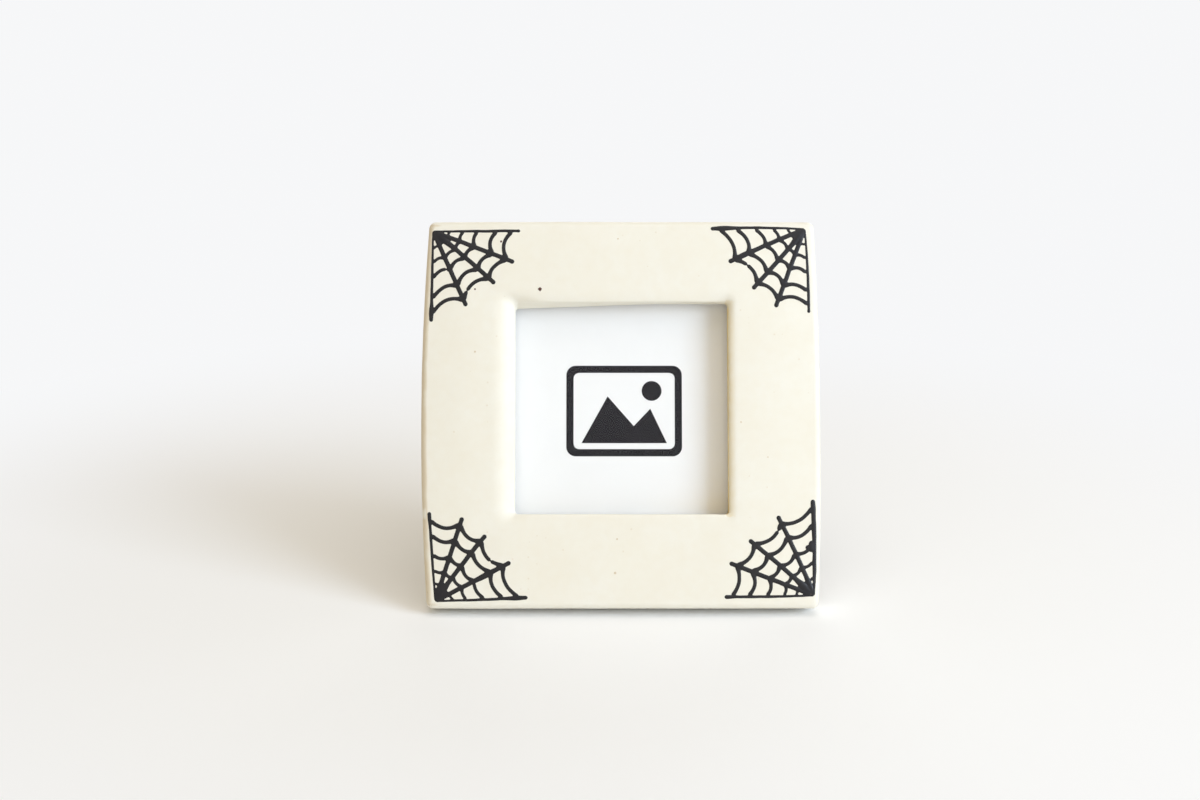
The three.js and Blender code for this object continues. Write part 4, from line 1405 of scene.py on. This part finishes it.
fastener = {
    "rivet": 1.1, "rivetHead": 2.1, "rivetHeadHeight": 0.8, "rivetSoft": 0.12,
    "rivetSteps": 8, "rivetSides": 32,
    "rivetTail": 1.8, "rivetTailHeight": 0.5, "tailSoft": 0.15, "tailSunk": 0.05,
    "boardHeadSeat": 16.3, "legHeadSeat": 2.175,
    "screw": 1.0, "screwHead": 2.4, "screwSeat": 16.75, "screwSide": 0.6, "screwSoft": 0.14,
    "screwCrown": 0.9, "screwSteps": 9, "screwSides": 40, "screwTip": 8.75, "screwPoint": 2.0,
    "recess": 1.45, "recessWidth": 0.38, "recessDepth": 0.95, "recessFoot": 0.45, "recessOver": 0.4,
    "recessTop": 1.1,
    "turnSeed": 4, "wear": 0.15, "sharp": 38,
}


# A round crown from its edge to its middle, in radius and place along the axis
def dome(radius, start, height, steps):
    turns = [math.radians(90 * step / steps) for step in range(steps)]
    points = [(radius * math.cos(turn), start + height * math.sin(turn)) for turn in turns]
    return points + [(0, start + height)]


def rivetMaster(tailFront, headSeat):
    tailBack = tailFront + fastener["rivetTailHeight"]
    tail, stem, head = fastener["rivetTail"], fastener["rivet"], fastener["rivetHead"]
    tailSoft, soft = fastener["tailSoft"], fastener["rivetSoft"]
    profile = [(0, tailFront), (tail - tailSoft, tailFront), (tail, tailFront + tailSoft)]
    profile += [(tail, tailBack), (stem, tailBack), (stem, headSeat), (head - soft, headSeat)]
    profile += dome(head, headSeat + soft, fastener["rivetHeadHeight"] - soft, fastener["rivetSteps"])
    return turned("rivet_master", profile, fastener["rivetSides"])


def screwMaster():
    stem, head, soft = fastener["screw"], fastener["screwHead"], fastener["screwSoft"]
    seat, tip = fastener["screwSeat"], fastener["screwTip"]
    shoulder = seat + fastener["screwSide"]
    profile = [(0, tip), (stem, tip + fastener["screwPoint"]), (stem, seat)]
    profile += [(head - soft, seat), (head, seat + soft)]
    profile += dome(head, shoulder, fastener["screwCrown"], fastener["screwSteps"])
    body = turned("screw_master", profile, fastener["screwSides"])
    top = shoulder + fastener["screwCrown"]
    reach, wide = fastener["recess"], fastener["recessWidth"]
    foot, over = (top - fastener["recessDepth"], fastener["recessFoot"]), fastener["recessOver"]
    arms = []
    for turn in (0, 90):
        points = []
        for level, share in (foot, (top + over, fastener["recessTop"])):
            points += [(x * reach * share, level, z * wide) for x, z in ((-1, -1), (1, -1), (1, 1), (-1, 1))]
        faces = [(0, 1, 2, 3), (7, 6, 5, 4), (0, 4, 5, 1), (1, 5, 6, 2), (2, 6, 7, 3), (3, 7, 4, 0)]
        arm = mended(bareMesh("arm", points, faces))
        arm.transform(Matrix.Rotation(math.radians(turn), 4, "Y"))
        arms.append(arm)
    return mended(joined(body, arms, "DIFFERENCE"), making["mergeCut"])


def makeSetFasteners():
    inputs = {"Master": ("Object", None), "Turn": ("Float", 0.0), "Seed": ("Int", 1)}
    tree, given, made = nodeTree("setFasteners", inputs)
    master = put(tree, "GeometryNodeObjectInfo", {"Object": given["Master"]}).outputs["Geometry"]
    values = {2: 0.0, 3: given["Turn"], "Seed": given["Seed"]}
    spun = put(tree, "FunctionNodeRandomValue", values, data_type="FLOAT").outputs[1]
    turns = put(tree, "ShaderNodeCombineXYZ", {"Y": spun}).outputs[0]
    values = {"Points": given["Geometry"], "Instance": master, "Rotation": turns}
    many = put(tree, "GeometryNodeInstanceOnPoints", values).outputs[0]
    return endTree(tree, many, given["Finish"], made)


setFasteners = makeSetFasteners()


def placeFasteners(name, master, places, spin, place, body, slot, nodes):
    markEdges(master, fastener["wear"], 1)
    pattern = trial(smoothed(master, fastener["sharp"]))
    item = trial(bareMesh(name, [(x, 0, z) for x, z in places], []))
    values = {"Master": pattern, "Turn": spin, "Seed": fastener["turnSeed"], "Finish": finishes[slot]}
    addNodes(item, "set", setFasteners, values)
    mesh = evaluated(item, name)
    bpy.data.objects.remove(pattern)
    addPiece(mesh, place, body, slot, *nodes)


onBoard = stance["pinRise"] + sheetBoard["rivetOffset"]
for kind, body, place, level, front in (
    ("board", "frame", standing, onBoard, sheetBoard["front"]),
    ("leg", "leg", onLeg, -sheetBoard["rivetOffset"], legSheet["front"]),
):
    master = rivetMaster(front + fastener["tailSunk"], fastener[kind + "HeadSeat"])
    row = [(x, level) for x in sheetBoard["rivetAcross"]]
    nodes = [kind + "_rivet_left", kind + "_rivet_right"]
    placeFasteners(kind + "_rivets", master, row, 0.0, place, body, "nickel_steel", nodes)
screwNodes = ["button_screw_" + name for name in plugs]
placeFasteners(
    "button_screws", screwMaster(), plugs.values(), math.pi, standing, "frame", "zinc_steel", screwNodes,
)
print("rivets and screws set")


# Turn buttons, pointing at the board

button = {
    "pivot": 4.0, "tip": 3.0, "length": 10.0, "front": 15.5, "back": 16.5, "edge": 0.22,
    "hole": 1.35, "rim": 0.35, "pivotSteps": 40, "tipSteps": 32, "wear": 0.15, "sharp": 38,
}


def buttonMesh(name):
    tangent = math.degrees(math.acos((button["pivot"] - button["tip"]) / button["length"]))
    outline = arcPoints(0, 0, button["pivot"], tangent, 360 - tangent, button["pivotSteps"])
    outline += arcPoints(button["length"], 0, button["tip"], -tangent, tangent, button["tipSteps"])
    outlines = [outline, circleHole(0, 0, button["hole"])]
    return withRim(stamped(name, outlines, button["front"], button["back"], button["edge"]), button["rim"])


for name, (x, z) in plugs.items():
    plate = buttonMesh("turn_plate_" + name)
    markEdges(plate, button["wear"], 0)
    faceBoard = Matrix.Translation((x, 0, z)) @ Matrix.Rotation(0 if x < 0 else math.pi, 4, "Y")
    body = "button_" + name
    addPiece(smoothed(plate, button["sharp"]), standing @ faceBoard, body, "nickel_steel", "turn_" + body)
print("turn buttons stamped")


# Table top and surroundings

tableTop = {
    "half": 12.0, "below": 0.00005, "fadeFrom": 0.09, "fadeTo": 0.42, "pale": (0.97, 0.98, 1.0),
    "shade": (0.96, 0.97, 0.99), "clouds": {"Scale": 3.0, "Contrast": 0.4}, "rough": 0.9, "shine": 0.1,
}


# Rays that show a surface in the picture, itself or in metal and glass
def lookedAt(tree):
    rays = put(tree, "ShaderNodeLightPath").outputs
    direct = sums(tree, "MAXIMUM", rays["Is Camera Ray"], rays["Is Glossy Ray"])
    return sums(tree, "MAXIMUM", direct, rays["Is Transmission Ray"])


# Near the frame it takes shadows, further off it turns into the plain backdrop
def tableFinish():
    material, tree, shader, place = newFinish("paleTable")
    cloud = useGroup(tree, mottle, place, tableTop["clouds"])
    feed(tree, shader, {
        "Base Color": mixColour(tree, cloud["Mask"], tableTop["pale"], tableTop["shade"]),
        "Roughness": tableTop["rough"], "Specular IOR Level": tableTop["shine"],
    })
    away = put(tree, "ShaderNodeVectorMath", {0: place}, operation="LENGTH").outputs["Value"]
    fade = times(tree, ramp(tree, away, tableTop["fadeFrom"], tableTop["fadeTo"]), lookedAt(tree))
    backdrop = {"Color": (*studio["backdropColour"], 1.0), "Strength": studio["backdropStrength"]}
    glow = put(tree, "ShaderNodeEmission", backdrop).outputs[0]
    feed(tree, nodeOf(tree, "OUTPUT_MATERIAL"), {"Surface": mixShader(tree, fade, shader.outputs[0], glow)})
    return material


reach, low = tableTop["half"], -tableTop["below"]
corners = [(-reach, -reach, low), (reach, -reach, low), (reach, reach, low), (-reach, reach, low)]
tableMesh = bareMesh("table", corners, [(0, 1, 2, 3)])
tableMesh.materials.append(tableFinish())
table = bpy.data.objects.new("table", tableMesh)
scene.collection.objects.link(table)

world = bpy.data.worlds.new("studio")
scene.world = world
world.use_nodes = True
sky = world.node_tree
seen = lookedAt(sky)
feed(sky, nodeOf(sky, "BACKGROUND"), {
    "Color": mixColour(sky, seen, studio["skyColour"], studio["backdropColour"]),
    "Strength": mixValue(sky, seen, studio["skyStrength"], studio["backdropStrength"]),
})
print("table and surroundings set")
